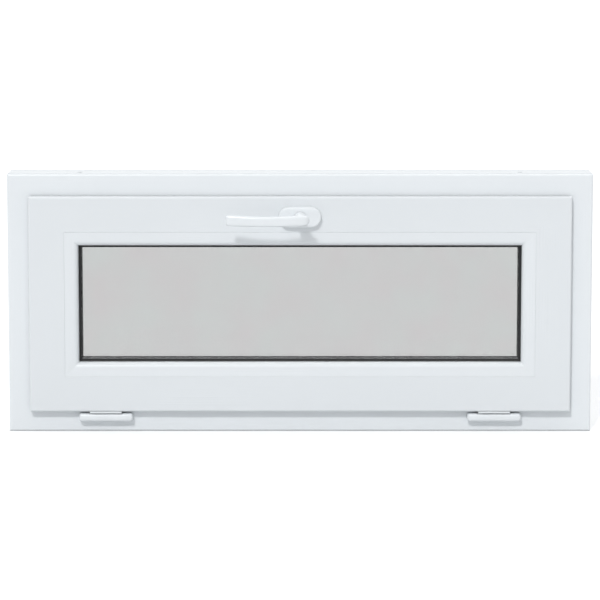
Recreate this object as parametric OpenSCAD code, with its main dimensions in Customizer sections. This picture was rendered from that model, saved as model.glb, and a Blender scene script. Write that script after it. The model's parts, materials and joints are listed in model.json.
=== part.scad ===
// Bottom-hung casement window in white plastic profile, with a handle on the top rail.
// Every profile is drawn as (d, h): d runs from the frame's room face towards the weather,
// and h runs from the frame's outer edge towards the glass. X is the width and Z is up.
// The origin is the middle of the frame's underside, and the room is on the -Y side.

/* [Window] */
// Overall width of the outer frame
window_w = 900; // [700:10:1500]
// Overall height of the outer frame
window_h = 400; // [330:10:900]

/* [Frame profile] */
// Depth of the frame from its room face to its weather face
frame_depth = 70; // [68:1:90]
// Height of the frame profile up to its rebate floor
frame_rebate_h = 40; // [38:1:50]
// Thickness of the weather lip that stands behind the sash
weather_lip_t = 20; // [18:1:24]
// Height of the weather lip over the rebate floor
weather_lip_rise = 22; // [20:1:28]
// Radius of the frame's outer edges
frame_edge_r = 3; // [1:0.5:4]

/* [Sash profile] */
// How far the sash stands proud of the frame on the room side
sash_proud = 15; // [13:0.5:18]
// How far the sash lip laps over the frame
sash_lap = 7; // [6:0.5:9]
// Gap between the frame's rebate floor and the sash, which holds the hardware
rebate_gap = 11; // [11:0.1:13.5]
// Width of the sash face, from the lip's edge to the bead
sash_face = 55; // [52:1:64]
// Height of the glazing rebate
glass_rebate = 22; // [20:1:26]
// Thickness of the upstand behind the glass
upstand_t = 16; // [14:1:18]
// Radius of the sash's visible edges
sash_edge_r = 3; // [1:0.5:4]

/* [Walls and seals] */
// Thickness of the outer walls of the hollow profiles
wall = 2.8; // [2.5:0.1:3]
// Thickness of the webs inside the profiles
web = 1.4; // [1:0.1:2]
// Thickness of the steel inside the profiles
steel_t = 1.5; // [1:0.25:2]
// Space for the seal on each side of the sash
seal_space = 3; // [3:0.5:4]
// What is left between a seal and the face that it meets
seal_gap = 0.3; // [0.2:0.1:0.6]

/* [Glazing] */
// Thickness of each pane
pane_t = 4; // [3:1:6]
// Cavity between the panes
cavity = 16; // [12:1:18]
// Thickness of the gaskets on both faces of the glass
gasket_t = 3; // [3:0.5:4]
// Gap between the glass edge and the rebate floor, filled by packers
glass_edge_gap = 6; // [4:1:7]
// How far the bead's edge stands over the rebate floor
bead_h = 21; // [18:1:24]
// Radius of the bead's rounded edge
bead_r = 9; // [6:0.5:10]
// How far the bead gasket shows beyond the bead
gasket_show = 4.3; // [3:0.1:6]

/* [Hinges] */
// From the frame's outer edge to the middle of each hinge
hinge_inset = 150; // [120:1:200]
// Height of the hinge axis over the frame's underside
hinge_h = 23.2; // [21:0.1:24]
// From the frame's room face to the hinge axis
hinge_out = 7.5; // [7:0.1:8.5]
// Length of a hinge cover
cover_l = 83; // [70:1:100]
// Height of a hinge cover
cover_h = 12.4; // [12:0.1:13]
// Depth of a hinge cover
cover_d = 14; // [13.5:0.1:15]
// Radius of a hinge pin
hinge_pin_r = 3; // [2.5:0.1:3]
// Width of the sash leaf's knuckle
sash_knuckle_l = 49; // [40:1:54]
// How far the sash tilts into the room
tilt_max = 25; // [10:1:27]

/* [Stays] */
// From the sash's top edge in the rebate down to the stay's roller
stay_drop = 29; // [26:1:60]
// How far the stay's track lies from the frame's room face at the roller
stay_track_d = 22.5; // [20:0.5:25]
// Width of the stay arm
stay_arm_w = 12; // [10:1:14]

/* [Lock] */
// From the frame's outer edge to the middle of each locking cam
cam_inset = 200; // [150:1:220]
// Radius of a cam's head
cam_r = 4; // [3.5:0.1:4.2]
// Module of the rack and its pinion
gear_module = 1.25; // [1.2:0.05:1.5]
// Teeth on the pinion
gear_teeth = 12; // [12:1:13]
// Width of the lock faceplate
faceplate_w = 16; // [14:1:16]
// Thickness of the lock faceplate
faceplate_t = 2; // [1.5:0.1:2.2]
// From the inner face of the sash lip to the hardware axis
groove_axis = 16; // [15:0.5:16]

/* [Handle] */
// Side of the square spindle
spindle = 7; // [6:0.5:7]
// Length of the rosette
rosette_l = 66; // [62:1:70]
// Height of the rosette
rosette_h = 32.5; // [31:0.5:36]
// Thickness of the rosette
rosette_t = 10; // [9:0.5:12]
// From the spindle to the tip of the lever
lever_l = 112.5; // [90:0.5:130]
// Height of the lever
lever_h = 16; // [14:0.5:20]
// Thickness of the lever
lever_t = 12; // [10:0.5:14]
// From the sash face to the back of the lever
lever_stand = 39; // [35:1:50]
// How far the lever bows away from the sash
lever_bow = 5; // [2:0.5:8]
// Radius of the neck
neck_r = 8.9; // [8:0.1:9]

/* [Fixing] */
// From the frame's corners to the fixing holes in the jambs
jamb_fixing_inset = 100; // [90:1:110]
// From the frame's corners to the fixing holes in the head
head_fixing_inset = 110; // [100:1:130]
// Radius of a fixing hole
fixing_r = 4; // [3:0.25:4.5]
// From the frame's outer edge to the middle of each drain cap
drain_inset = 200; // [150:1:250]

/* [Hidden] */
$fn = 48;
hull_fn = 32;
tiny = 0.01;       // how far a cut runs past the face that it opens
touch = 0.05;      // clearance of pieces that are fixed to each other
run = 0.06;        // clearance of a pin that turns in its bore
slide = 0.2;       // clearance of pieces that slide past each other

BOTTOM = 0;
RIGHT = 1;
TOP = 2;
LEFT = 3;

// Places in the frame profile
lip_d = frame_depth - weather_lip_t;
lip_h = frame_rebate_h + weather_lip_rise;
lip_slope = 4;
frame_web_d = 16;
fixing_d = (frame_web_d + lip_d) / 2 - 3;
frame_seal_h = lip_h - 6;
seal_root = 3;
seal_root_w = 3;
perimeter_groove_w = 6;
perimeter_groove_t = 3;
perimeter_grooves = [13, frame_depth - 15];

// Places in the sash profile
sash_back = lip_d - seal_space;
sash_h0 = frame_rebate_h - sash_lap;
body_h0 = frame_rebate_h + rebate_gap;
floor_h = sash_h0 + sash_face;
upstand_h = floor_h + glass_rebate;
upstand_d = sash_back - upstand_t;
axis_d = groove_axis - seal_space;
groove_w = 12;
groove_t = 9;
gear_chamber_h1 = floor_h - wall;
steel_d0 = axis_d + faceplate_w / 2 + 2;
sash_seal_h = sash_h0 + 4;
bead_foot_d = 5;
bead_foot_w = 4;
bead_foot_t = 6;

// Places in the glazing
glass_back = upstand_d - gasket_t;
glass_mid_back = glass_back - pane_t;
glass_mid_front = glass_mid_back - cavity;
glass_front = glass_mid_front - pane_t;
glass_h0 = floor_h + glass_edge_gap;
bead_back = glass_front - gasket_t;
bead_top = floor_h + bead_h;
sight_h = bead_top + gasket_show;
bead_recess = 0.4;
bead_lean = 1.4;
edge_seal_t = 8;
spacer_top = sight_h - 1.5;

// Gears and lock
pitch_r = gear_module * gear_teeth / 2;
addendum = 0.8 * gear_module;
dedendum = 1.05 * gear_module;
pressure = 25;
backlash = 0.25;
rod_t = 2.1;
rod_w = 9.6;
rod_h0 = body_h0 + faceplate_t + slide;
rack_pitch_h = rod_h0 + rod_t + dedendum;
spindle_h = rack_pitch_h + pitch_r;
rod_travel = pitch_r * PI / 2;
rack_w = 7.6;
cam_x = window_w / 2 - cam_inset;
cam_stem_r = 3;
cam_tip_h = frame_rebate_h + 3.6;
rod_end = cam_x + 30;
faceplate_end = rod_end + rod_travel + 12;
plate_screw_x = [faceplate_end - 6, cam_x / 2];
journal_r = 6;
gear_t = 8;
case_t = 13;
case_l = 60;
case_h1 = spindle_h + pitch_r + 4.5;
handle_screw_x = 21.5;
handle_screw_r = 2.5;

// Keeps
keep_base_t = 2;
keep_lip_h = frame_rebate_h + 6.4;
keep_lip_t = 3;
keep_gap = 0.5;
keep_l = 44;
keep_past = 11;
keep_screw_x = [keep_past - keep_l + 6, keep_past - 6];
keep_mouth = cam_r + 0.8;

// Stays
hinge_d = -hinge_out;
roller_z = window_h - body_h0 - stay_drop;
track_angle = atan((stay_track_d - hinge_d) / (roller_z - hinge_h));
track_reach = (roller_z - hinge_h) / cos(track_angle);
stay_l = track_reach / 2;
roller_r = 3.4;
roller_pin_r = 2;
pivot_r = 3;
stay_arm_t = 2.5;
stay_h0 = frame_rebate_h + 4;
bracket_t = 2;
bracket_w = 12;
bracket_l = 44;
guide_t = 2.5;
guide_w = 22;
guide_end = 12;
guide_travel = track_reach * (1 - cos(tilt_max));
guide_l = guide_travel + 2 * guide_end;

// Screws
screw_r = 2;
screw_head_r = 3.9;
screw_head_h = 2;
recess_w = 0.9;
recess_l = 4;
recess_t = 1.1;

// Hinges
hinge_x = window_w / 2 - hinge_inset;
leaf_t = 2;
leaf_plate_t = 2.5;
knuckle_r = 4.8;
frame_knuckle_l = 12;
frame_knuckle_gap = 0.8;
cover_wall = 1;
cover_r = 4.5;
leaf_screw_x = 12;
sash_screw_x = 16;
sash_screw_d = -3.9;
leaf_screw_r = 1.3;
leaf_head_r = 2.4;

// Handle
handle_z = window_h - spindle_h;
base_l = 60;
base_t = 5;
cover_shell = 1.6;
lever_back_d = -sash_proud - lever_stand;
lever_root = neck_r + 5.5;
bow_steps = 16;

// Drains
drain_l = 42;
drain_h = 12;
drain_t = 6;
drain_z = 26;

PVC = [0.93, 0.94, 0.95];
RUBBER = [0.08, 0.08, 0.09];
STEEL = [0.62, 0.64, 0.66];
ZINC = [0.42, 0.43, 0.45];
NYLON = [0.9, 0.9, 0.9];

// ---------- placing ----------

function side_length(k) = (k == TOP || k == BOTTOM) ? window_w : window_h;

// Children drawn for the bottom side are turned to side k
module on_side(k) {
    if (k == BOTTOM) children();
    if (k == RIGHT) translate([window_w / 2, 0, window_h / 2]) rotate([0, -90, 0]) children();
    if (k == TOP) translate([0, 0, window_h]) rotate([0, 180, 0]) children();
    if (k == LEFT) translate([-window_w / 2, 0, window_h / 2]) rotate([0, 90, 0]) children();
}

// Children drawn as (x, d, h) are set at the top side
module at_top() {
    translate([0, -frame_depth / 2, window_h]) mirror([0, 0, 1]) children();
}

// Children drawn as (x, d, h) are set at the bottom side
module at_bottom() {
    translate([0, -frame_depth / 2, 0]) children();
}

// Children drawn as (h, d, z) are set at the left or the right jamb
module at_jamb(k) {
    if (k == LEFT) translate([-window_w / 2, -frame_depth / 2, 0]) children();
    if (k == RIGHT) translate([window_w / 2, -frame_depth / 2, 0]) mirror([1, 0, 0]) children();
}

// A profile extruded along the bottom side and cut at both mitres
module mitred(length) {
    reach = upstand_h + 20;
    intersection() {
        translate([-length / 2, -frame_depth / 2, 0])
            rotate([90, 0, 90]) linear_extrude(length) children();
        rotate([90, 0, 0]) linear_extrude(4 * frame_depth, center = true)
            polygon([[-length / 2, 0], [length / 2, 0],
                     [length / 2 - reach, reach], [-length / 2 + reach, reach]]);
    }
}

module bar(k) {
    on_side(k) mitred(side_length(k)) children();
}

module ring() {
    union() for (k = [BOTTOM, RIGHT, TOP, LEFT]) bar(k) children();
}

// A rectangular ring between two heights h and two depths d
module flat_ring(d0, d1, h0, h1) {
    translate([0, (d0 + d1 - frame_depth) / 2, window_h / 2]) difference() {
        cube([window_w - 2 * h0, d1 - d0, window_h - 2 * h0], center = true);
        cube([window_w - 2 * h1, d1 - d0 + 1, window_h - 2 * h1], center = true);
    }
}

// ---------- small shapes ----------

// What is cut off a profile's corner to round it. into points from the corner into the material
module corner_cut(at, into, r) {
    translate(at) difference() {
        translate([into.x > 0 ? -tiny : -r, into.y > 0 ? -tiny : -r]) square(r + tiny);
        translate(into * r) circle(r);
    }
}

module area(d0, h0, d1, h1) {
    translate([d0, h0]) square([d1 - d0, h1 - h0]);
}

// A bar with round ends along X, drawn in the plane of its axis and the next one
module stadium(l, h) {
    hull() for (x = [-1, 1]) translate([x * (l - h) / 2, 0]) circle(h / 2, $fn = hull_fn);
}

// The same shape without hull, so that its round ends stay true cylinders
module slot_2d(l, r) {
    union() {
        square([l, 2 * r], center = true);
        for (x = [-l / 2, l / 2]) translate([x, 0]) circle(r);
    }
}

// A countersunk screw with its head at the origin, running along +Z
module screw(l, r = screw_r, head_r = screw_head_r) {
    difference() {
        union() {
            cylinder(h = screw_head_h, r1 = head_r, r2 = r);
            translate([0, 0, screw_head_h]) cylinder(h = l - screw_head_h, r = r);
        }
        for (a = [0, 90]) rotate([0, 0, a])
            translate([-recess_l / 2, -recess_w / 2, -tiny]) cube([recess_l, recess_w, recess_t]);
    }
}

// The hole that a countersunk screw needs in the plate that it holds
module screw_hole(l, r = screw_r, head_r = screw_head_r) {
    translate([0, 0, -tiny]) cylinder(h = screw_head_h + tiny, r1 = head_r + touch, r2 = r + touch);
    cylinder(h = l, r = r + touch);
}

// Turns what runs along +Z to run along +d
module into_depth() {
    rotate([-90, 0, 0]) children();
}

// ---------- frame ----------

module frame_profile() {
    difference() {
        polygon([[0, 0], [frame_depth, 0], [frame_depth, lip_h - lip_slope],
                 [lip_d + 2, lip_h], [lip_d, lip_h - 2], [lip_d, frame_rebate_h],
                 [0, frame_rebate_h]]);
        corner_cut([0, 0], [1, 1], frame_edge_r);
        corner_cut([frame_depth, 0], [-1, 1], frame_edge_r);
        corner_cut([0, frame_rebate_h], [1, -1], frame_edge_r / 2);
        for (d = perimeter_grooves)
            area(d - perimeter_groove_w / 2, -1, d + perimeter_groove_w / 2, perimeter_groove_t);
        area(lip_d - 1, frame_seal_h - seal_root_w / 2,
             lip_d + seal_root, frame_seal_h + seal_root_w / 2);
        frame_chambers();
    }
}

module frame_chambers() {
    over_groove = perimeter_groove_t + wall;
    top = frame_rebate_h - wall;
    area(wall, over_groove, frame_web_d, top);
    area(frame_web_d + web, wall, lip_d - 2 - web, top);
    area(lip_d - 2, over_groove, frame_depth - wall, top);
    area(lip_d + seal_root + wall, top + web, frame_depth - wall, lip_h - lip_slope - wall);
}

module head_fixings() {
    at_top() for (x = [-1, 1])
        translate([x * (window_w / 2 - head_fixing_inset), fixing_d, -1])
            cylinder(h = frame_rebate_h + 2, r = fixing_r);
}

module jamb_fixings(k) {
    at_jamb(k) for (z = [jamb_fixing_inset, window_h - jamb_fixing_inset])
        translate([-1, fixing_d, z]) rotate([0, 90, 0])
            cylinder(h = frame_rebate_h + 2, r = fixing_r);
}

module frame_head() {
    color(PVC) difference() {
        bar(TOP) frame_profile();
        head_fixings();
        keep_screw_places() cylinder(h = 14, r = screw_r);
    }
}

module frame_sill() {
    color(PVC) difference() {
        bar(BOTTOM) frame_profile();
        frame_leaf_screw_places() cylinder(h = 18, r = screw_r);
        drain_places() translate([0, -wall - 1, 0]) into_depth()
            linear_extrude(wall + 2) slot_2d(24, 2.5);
    }
}

module frame_jamb(k) {
    color(PVC) difference() {
        bar(k) frame_profile();
        jamb_fixings(k);
        bracket_screw_places(k) cylinder(h = 16, r = screw_r);
    }
}

module frame_steel_profile() {
    d0 = frame_web_d + web + 2 * touch;
    d1 = lip_d - 2 - web - 2 * touch;
    difference() {
        area(d0, wall + 2 * touch, d1, frame_rebate_h - wall - 2 * touch);
        area(d0 + steel_t, wall + steel_t, d1 - steel_t, frame_rebate_h - wall - steel_t);
    }
}

module frame_reinforcement() {
    color(STEEL) difference() {
        for (k = [BOTTOM, RIGHT, TOP, LEFT]) on_side(k) {
            l = side_length(k) - 2 * frame_rebate_h;
            translate([-l / 2, -frame_depth / 2, 0])
                rotate([90, 0, 90]) linear_extrude(l) frame_steel_profile();
        }
        head_fixings();
        for (k = [LEFT, RIGHT]) jamb_fixings(k);
    }
}

module frame_seal() {
    color(RUBBER) ring() union() {
        area(lip_d, frame_seal_h - seal_root_w / 2 + touch,
             lip_d + seal_root - touch, frame_seal_h + seal_root_w / 2 - touch);
        area(sash_back + seal_gap, frame_seal_h - 4, lip_d, frame_seal_h + 4);
    }
}

module drain_places() {
    at_bottom() for (x = [-1, 1])
        translate([x * (window_w / 2 - drain_inset), frame_depth, drain_z]) children();
}

module drain_caps() {
    color(PVC) drain_places() difference() {
            hull() for (s = [-1, 1], z = [-1, 1])
                translate([s * (drain_l / 2 - 3), 0, z * (drain_h / 2 - 3)])
                    into_depth() cylinder(h = drain_t, r1 = 3, r2 = 2, $fn = hull_fn);
            translate([-drain_l / 2 + 3, -1, -drain_h / 2 - 1])
                cube([drain_l - 6, drain_t - 1, drain_h - 3]);
        }
}

// ---------- keeps ----------

// Children drawn with their head at the origin are set on both keeps, running into the frame
module keep_screw_places() {
    at_top() for (side = [-1, 1], x = keep_screw_x)
        translate([side * cam_x + x, axis_d, frame_rebate_h + keep_base_t])
            mirror([0, 0, 1]) children();
}

module keep(side) {
    half = cam_r + keep_gap + keep_lip_t;
    lip_x = keep_past - keep_l + 12;
    color(ZINC) difference() {
        at_top() translate([side * cam_x, axis_d, frame_rebate_h]) {
            translate([keep_past - keep_l, -half, 0]) cube([keep_l, 2 * half, keep_base_t]);
            for (y = [-half, half - keep_lip_t]) translate([lip_x, y, 0])
                cube([-keep_mouth - lip_x, keep_lip_t, keep_lip_h - frame_rebate_h]);
        }
        keep_screw_places() screw_hole(8);
    }
}

module keep_screws() {
    color(STEEL) keep_screw_places() screw(12);
}

// ---------- hinges ----------

module at_hinge(side) {
    at_bottom() translate([side * hinge_x, hinge_d, hinge_h]) children();
}

module hinge_pin(side) {
    color(STEEL) at_hinge(side) rotate([0, 90, 0])
        cylinder(h = sash_knuckle_l + 2 * (frame_knuckle_l + frame_knuckle_gap),
                 r = hinge_pin_r, center = true);
}

module frame_leaf_screw_places() {
    for (side = [-1, 1], x = [-leaf_screw_x, leaf_screw_x])
        at_hinge(side) translate([x, hinge_out - leaf_t, 0]) into_depth() children();
}

module hinge_frame_leaf(side) {
    inner = sash_knuckle_l / 2 + frame_knuckle_gap;
    half = inner + frame_knuckle_l;
    leaf_h = cover_h - 2 * cover_wall - 2 * slide;
    color(ZINC) difference() {
        at_hinge(side) difference() {
            union() {
                translate([-half, hinge_out - leaf_t, -leaf_h / 2]) cube([2 * half, leaf_t, leaf_h]);
                for (x = [-half, inner]) translate([x, 0, 0]) {
                    rotate([0, 90, 0]) cylinder(h = frame_knuckle_l, r = knuckle_r);
                    translate([0, 0, -3]) cube([frame_knuckle_l, hinge_out, 6]);
                }
            }
            rotate([0, 90, 0]) cylinder(h = cover_l, r = hinge_pin_r + touch / 2, center = true);
        }
        frame_leaf_screw_places() screw_hole(leaf_t + 1);
    }
}

module frame_leaf_screws() {
    color(STEEL) frame_leaf_screw_places() screw(16);
}

// The cover's section across the hinge: flat at the back, round at the front corners
module cover_section(grow) {
    half = cover_h / 2 - grow;
    front = hinge_out - cover_d + grow;
    r = cover_r - grow;
    difference() {
        area(front, -half, hinge_out, half);
        corner_cut([front, -half], [1, 1], r);
        corner_cut([front, half], [1, -1], r);
    }
}

module hinge_cover(side) {
    slit = sash_knuckle_l / 2 + frame_knuckle_gap / 2;
    end_r = 4;
    color(PVC) at_hinge(side) difference() {
        intersection() {
            translate([-cover_l / 2, 0, 0]) rotate([90, 0, 90])
                linear_extrude(cover_l) cover_section(0);
            translate([0, -cover_d, 0]) into_depth() linear_extrude(2 * cover_d) difference() {
                square([cover_l, cover_h], center = true);
                for (x = [-1, 1], z = [-1, 1])
                    corner_cut([x * cover_l / 2, z * cover_h / 2], [-x, -z], end_r);
            }
        }
        translate([-cover_l / 2 + cover_wall + 0.5, 0, 0]) rotate([90, 0, 90])
            linear_extrude(cover_l - 2 * cover_wall - 1) union() {
                cover_section(cover_wall);
                area(hinge_out - 1, -cover_h / 2 + cover_wall, hinge_out + 1, cover_h / 2 - cover_wall);
            }
        translate([-slit, -4.7, 0]) cube([2 * slit, cover_d, cover_h]);
    }
}

module hinge_sash_leaf(side) {
    rise = sash_h0 - hinge_h;
    color(ZINC) difference() {
        at_hinge(side) difference() {
            union() {
                rotate([0, 90, 0]) cylinder(h = sash_knuckle_l, r = knuckle_r, center = true);
                translate([-sash_knuckle_l / 2, -leaf_plate_t / 2, 0])
                    cube([sash_knuckle_l, leaf_plate_t, rise]);
                translate([-sash_knuckle_l / 2, hinge_out - sash_proud + 0.5, rise - leaf_plate_t])
                    cube([sash_knuckle_l, sash_proud - seal_space - 1, leaf_plate_t]);
            }
            rotate([0, 90, 0]) cylinder(h = cover_l, r = hinge_pin_r + run, center = true);
        }
        sash_leaf_screw_places() screw_hole(leaf_plate_t + 1, leaf_screw_r, leaf_head_r);
    }
}

module sash_leaf_screw_places() {
    for (side = [-1, 1], x = [-sash_screw_x, sash_screw_x])
        at_hinge(side) translate([x, sash_screw_d, sash_h0 - hinge_h - leaf_plate_t]) children();
}

module sash_leaf_screws() {
    color(STEEL) sash_leaf_screw_places() screw(12, leaf_screw_r, leaf_head_r);
}

// ---------- sash ----------

module sash_profile() {
    difference() {
        polygon([[-sash_proud, sash_h0], [-seal_space, sash_h0], [-seal_space, body_h0],
                 [sash_back, body_h0], [sash_back, upstand_h - lip_slope],
                 [upstand_d, upstand_h], [upstand_d, floor_h], [-sash_proud, floor_h]]);
        corner_cut([-sash_proud, sash_h0], [1, 1], sash_edge_r);
        corner_cut([-sash_proud, floor_h], [1, -1], 0.6);
        area(axis_d - faceplate_w / 2, body_h0 - 1, axis_d + faceplate_w / 2, body_h0 + faceplate_t);
        area(axis_d - groove_w / 2, body_h0, axis_d + groove_w / 2, body_h0 + groove_t);
        area(-seal_space - seal_root, sash_seal_h - seal_root_w / 2,
             -seal_space + 1, sash_seal_h + seal_root_w / 2);
        area(-sash_proud + bead_foot_d, floor_h - bead_foot_t,
             -sash_proud + bead_foot_d + bead_foot_w, floor_h + 1);
        sash_chambers();
    }
}

module sash_chambers() {
    front = -sash_proud + wall;
    groove_d0 = axis_d - faceplate_w / 2;
    lip_back = -seal_space - seal_root - wall;
    area(front, sash_h0 + wall, lip_back, body_h0 + wall - web);
    area(front, body_h0 + wall, groove_d0 - 2, floor_h - bead_foot_t - wall);
    area(groove_d0 - 2 + web, body_h0 + groove_t + web, steel_d0 - web, gear_chamber_h1);
    area(steel_d0, body_h0 + wall, sash_back - wall, floor_h - wall);
    area(upstand_d + wall, floor_h, sash_back - wall, upstand_h - lip_slope - wall);
}

module sash_top_rail() {
    pocket_d = case_t + 1;
    color(PVC) difference() {
        bar(TOP) sash_profile();
        at_top() {
            translate([-case_l / 2 - 1, axis_d - pocket_d / 2, body_h0 + faceplate_t])
                cube([case_l + 2, pocket_d, case_h1 + 1 - body_h0 - faceplate_t]);
            translate([0, -sash_proud - 1, spindle_h]) into_depth()
                cylinder(h = sash_proud + axis_d, r = journal_r);
            for (x = [-handle_screw_x, handle_screw_x])
                translate([x, -sash_proud - 1, spindle_h]) into_depth()
                    cylinder(h = sash_proud + axis_d, r = handle_screw_r + 0.25);
            faceplate_screw_places() cylinder(h = 16, r = screw_r);
        }
    }
}

module sash_bottom_rail() {
    color(PVC) difference() {
        bar(BOTTOM) sash_profile();
        sash_leaf_screw_places() cylinder(h = 20, r = leaf_screw_r);
    }
}

module sash_stile(k) {
    color(PVC) difference() {
        bar(k) sash_profile();
        guide_screw_places(k) cylinder(h = 20, r = screw_r);
    }
}

module sash_steel_profile() {
    d1 = sash_back - wall;
    difference() {
        area(steel_d0 + 2 * touch, body_h0 + wall + 2 * touch, d1 - 2 * touch, floor_h - wall - 2 * touch);
        area(steel_d0 + steel_t, body_h0 + wall + steel_t, d1 - steel_t, floor_h - wall - steel_t);
    }
}

module sash_reinforcement() {
    color(STEEL) difference() {
        for (k = [BOTTOM, RIGHT, TOP, LEFT]) on_side(k) {
            l = side_length(k) - 2 * floor_h;
            translate([-l / 2, -frame_depth / 2, 0])
                rotate([90, 0, 90]) linear_extrude(l) sash_steel_profile();
        }
        for (k = [LEFT, RIGHT]) guide_screw_places(k) cylinder(h = 20, r = screw_r);
    }
}

module sash_seal() {
    color(RUBBER) ring() union() {
        area(-seal_space - seal_root + touch, sash_seal_h - seal_root_w / 2 + touch,
             -seal_space, sash_seal_h + seal_root_w / 2 - touch);
        area(-seal_space, sash_seal_h - 2.5, -seal_gap, sash_seal_h + 2);
    }
}

// ---------- glazing ----------

module bead_profile() {
    front = -sash_proud + bead_recess;
    foot_d0 = -sash_proud + bead_foot_d + touch;
    foot_d1 = foot_d0 + bead_foot_w - 2 * touch;
    foot_h = floor_h - bead_foot_t + 0.5;
    difference() {
        polygon([[front, floor_h], [front + bead_lean, bead_top - bead_r],
                 [front + bead_lean, bead_top], [bead_back, bead_top], [bead_back, floor_h],
                 [foot_d1, floor_h], [foot_d1, foot_h], [foot_d0, foot_h], [foot_d0, floor_h]]);
        corner_cut([front + bead_lean, bead_top], [1, -1], bead_r);
        area(front + bead_lean + web, floor_h + 2, bead_back - web, bead_top - bead_r);
    }
}

module bead(k) {
    color(PVC) bar(k) bead_profile();
}

module bead_gasket() {
    color(RUBBER) ring() polygon([[bead_back, bead_top - 8], [glass_front, bead_top - 8],
        [glass_front, sight_h], [glass_front - 0.8, sight_h], [bead_back, bead_top]]);
}

module weather_gasket() {
    color(RUBBER) ring() polygon([[glass_back, upstand_h - 9], [upstand_d, upstand_h - 9],
        [upstand_d, upstand_h], [glass_back + 0.8, upstand_h + 3.5], [glass_back, upstand_h + 3.5]]);
}

module pane(d0) {
    color([0.8, 0.82, 0.82, 0.4])
        translate([-window_w / 2 + glass_h0, d0 - frame_depth / 2, glass_h0])
            cube([window_w - 2 * glass_h0, pane_t, window_h - 2 * glass_h0]);
}

module glass_spacer() {
    color([0.3, 0.31, 0.32])
        flat_ring(glass_mid_front, glass_mid_back, glass_h0 + edge_seal_t, spacer_top);
}

module glass_edge_seal() {
    color(RUBBER) flat_ring(glass_mid_front, glass_mid_back, glass_h0, glass_h0 + edge_seal_t);
}

module glazing_packers() {
    long = 80;
    color([0.2, 0.35, 0.6]) {
        for (k = [BOTTOM, TOP], x = [-1, 1]) on_side(k)
            translate([x * (window_w / 2 - floor_h - long) - long / 2, glass_front - frame_depth / 2, floor_h])
                cube([long, glass_back - glass_front, glass_edge_gap]);
        for (k = [LEFT, RIGHT]) on_side(k)
            translate([-long / 2, glass_front - frame_depth / 2, floor_h])
                cube([long, glass_back - glass_front, glass_edge_gap]);
    }
}

// ---------- lock ----------

function roll(a) = tan(a) * 180 / PI - a;

// Half of a tooth's angle at radius r
function tooth_half(r) =
    (PI * gear_module / 2 - backlash) / 2 / pitch_r * 180 / PI + roll(pressure)
    - roll(acos(min(1, pitch_r * cos(pressure) / r)));

module pinion_2d() {
    base_r = pitch_r * cos(pressure);
    tip_r = pitch_r + addendum;
    steps = 5;
    radii = [for (i = [0 : steps]) base_r + (tip_r - base_r) * i / steps];
    root_r = pitch_r - dedendum;
    union() {
        circle(root_r);
        for (t = [0 : gear_teeth - 1]) rotate(90 + (t + 0.5) * 360 / gear_teeth) polygon(concat(
            [[root_r - 0.5, 0]],
            [for (a = [-tooth_half(base_r)]) root_r * [cos(a), sin(a)]],
            [for (r = radii) r * [cos(-tooth_half(r)), sin(-tooth_half(r))]],
            [for (i = [steps : -1 : 0]) radii[i] * [cos(tooth_half(radii[i])), sin(tooth_half(radii[i]))]],
            [for (a = [tooth_half(base_r)]) root_r * [cos(a), sin(a)]]));
    }
}

module gear_pinion() {
    color(ZINC) at_top() translate([0, axis_d, spindle_h]) mirror([0, 0, 1]) difference() {
        union() {
            rotate([90, 0, 0]) linear_extrude(gear_t, center = true) pinion_2d();
            rotate([90, 0, 0]) cylinder(h = case_t, r = journal_r, center = true);
        }
        cube([spindle + 2 * touch, case_t + 2, spindle + 2 * touch], center = true);
    }
}

module gearbox_case() {
    case_h0 = rod_h0 + rod_t + slide;
    rack_tip = rack_pitch_h + addendum;
    half_t = case_t / 2 - touch / 2;
    color(ZINC) at_top() difference() {
        for (d = [-case_t / 2, touch / 2]) translate([-case_l / 2, axis_d + d, case_h0])
            cube([case_l, half_t, case_h1 - case_h0]);
        translate([0, axis_d, spindle_h]) rotate([90, 0, 0]) {
            cylinder(h = gear_t + 2 * slide, r = pitch_r + addendum + slide, center = true);
            cylinder(h = case_t + 1, r = journal_r + run, center = true);
        }
        translate([-case_l / 2 - 1, axis_d - rack_w / 2 - slide, case_h0 - 1])
            cube([case_l + 2, rack_w + 2 * slide, rack_tip + slide - case_h0 + 1]);
        for (x = [-handle_screw_x, handle_screw_x])
            translate([x, axis_d, spindle_h]) rotate([90, 0, 0])
                cylinder(h = case_t + 1, r = handle_screw_r + touch / 2, center = true);
    }
}

module rack_tooth() {
    half = (PI * gear_module / 2 - backlash) / 2;
    rotate([90, 0, 0]) linear_extrude(rack_w, center = true) polygon([
        [-half - dedendum * tan(pressure), -dedendum], [half + dedendum * tan(pressure), -dedendum],
        [half - addendum * tan(pressure), addendum], [-half + addendum * tan(pressure), addendum]]);
}

module drive_rod() {
    first = -2;
    last = 5;
    color(STEEL) at_top() difference() {
        union() {
            translate([-rod_end, axis_d - rod_w / 2, rod_h0]) cube([2 * rod_end, rod_w, rod_t]);
            for (i = [first : last])
                translate([i * PI * gear_module, axis_d, rack_pitch_h]) rack_tooth();
        }
        for (x = [-1, 1]) {
            translate([x * cam_x / 2 + rod_travel / 2, axis_d, rod_h0 - 1])
                linear_extrude(rod_t + 2) slot_2d(rod_travel + 1, screw_r + slide);
            translate([x * cam_x, axis_d, rod_h0 - 1]) cylinder(h = rod_t + 2, r = cam_stem_r - 0.5);
        }
    }
}

module lock_cams() {
    color(ZINC) at_top() for (x = [-1, 1]) translate([x * cam_x, axis_d, 0]) {
        translate([0, 0, cam_tip_h]) cylinder(h = body_h0 - slide - cam_tip_h, r = cam_r);
        translate([0, 0, cam_tip_h]) cylinder(h = rod_h0 - cam_tip_h, r = cam_stem_r);
        translate([0, 0, cam_tip_h]) cylinder(h = rod_h0 + rod_t - cam_tip_h, r = cam_stem_r - 0.5);
    }
}

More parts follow.
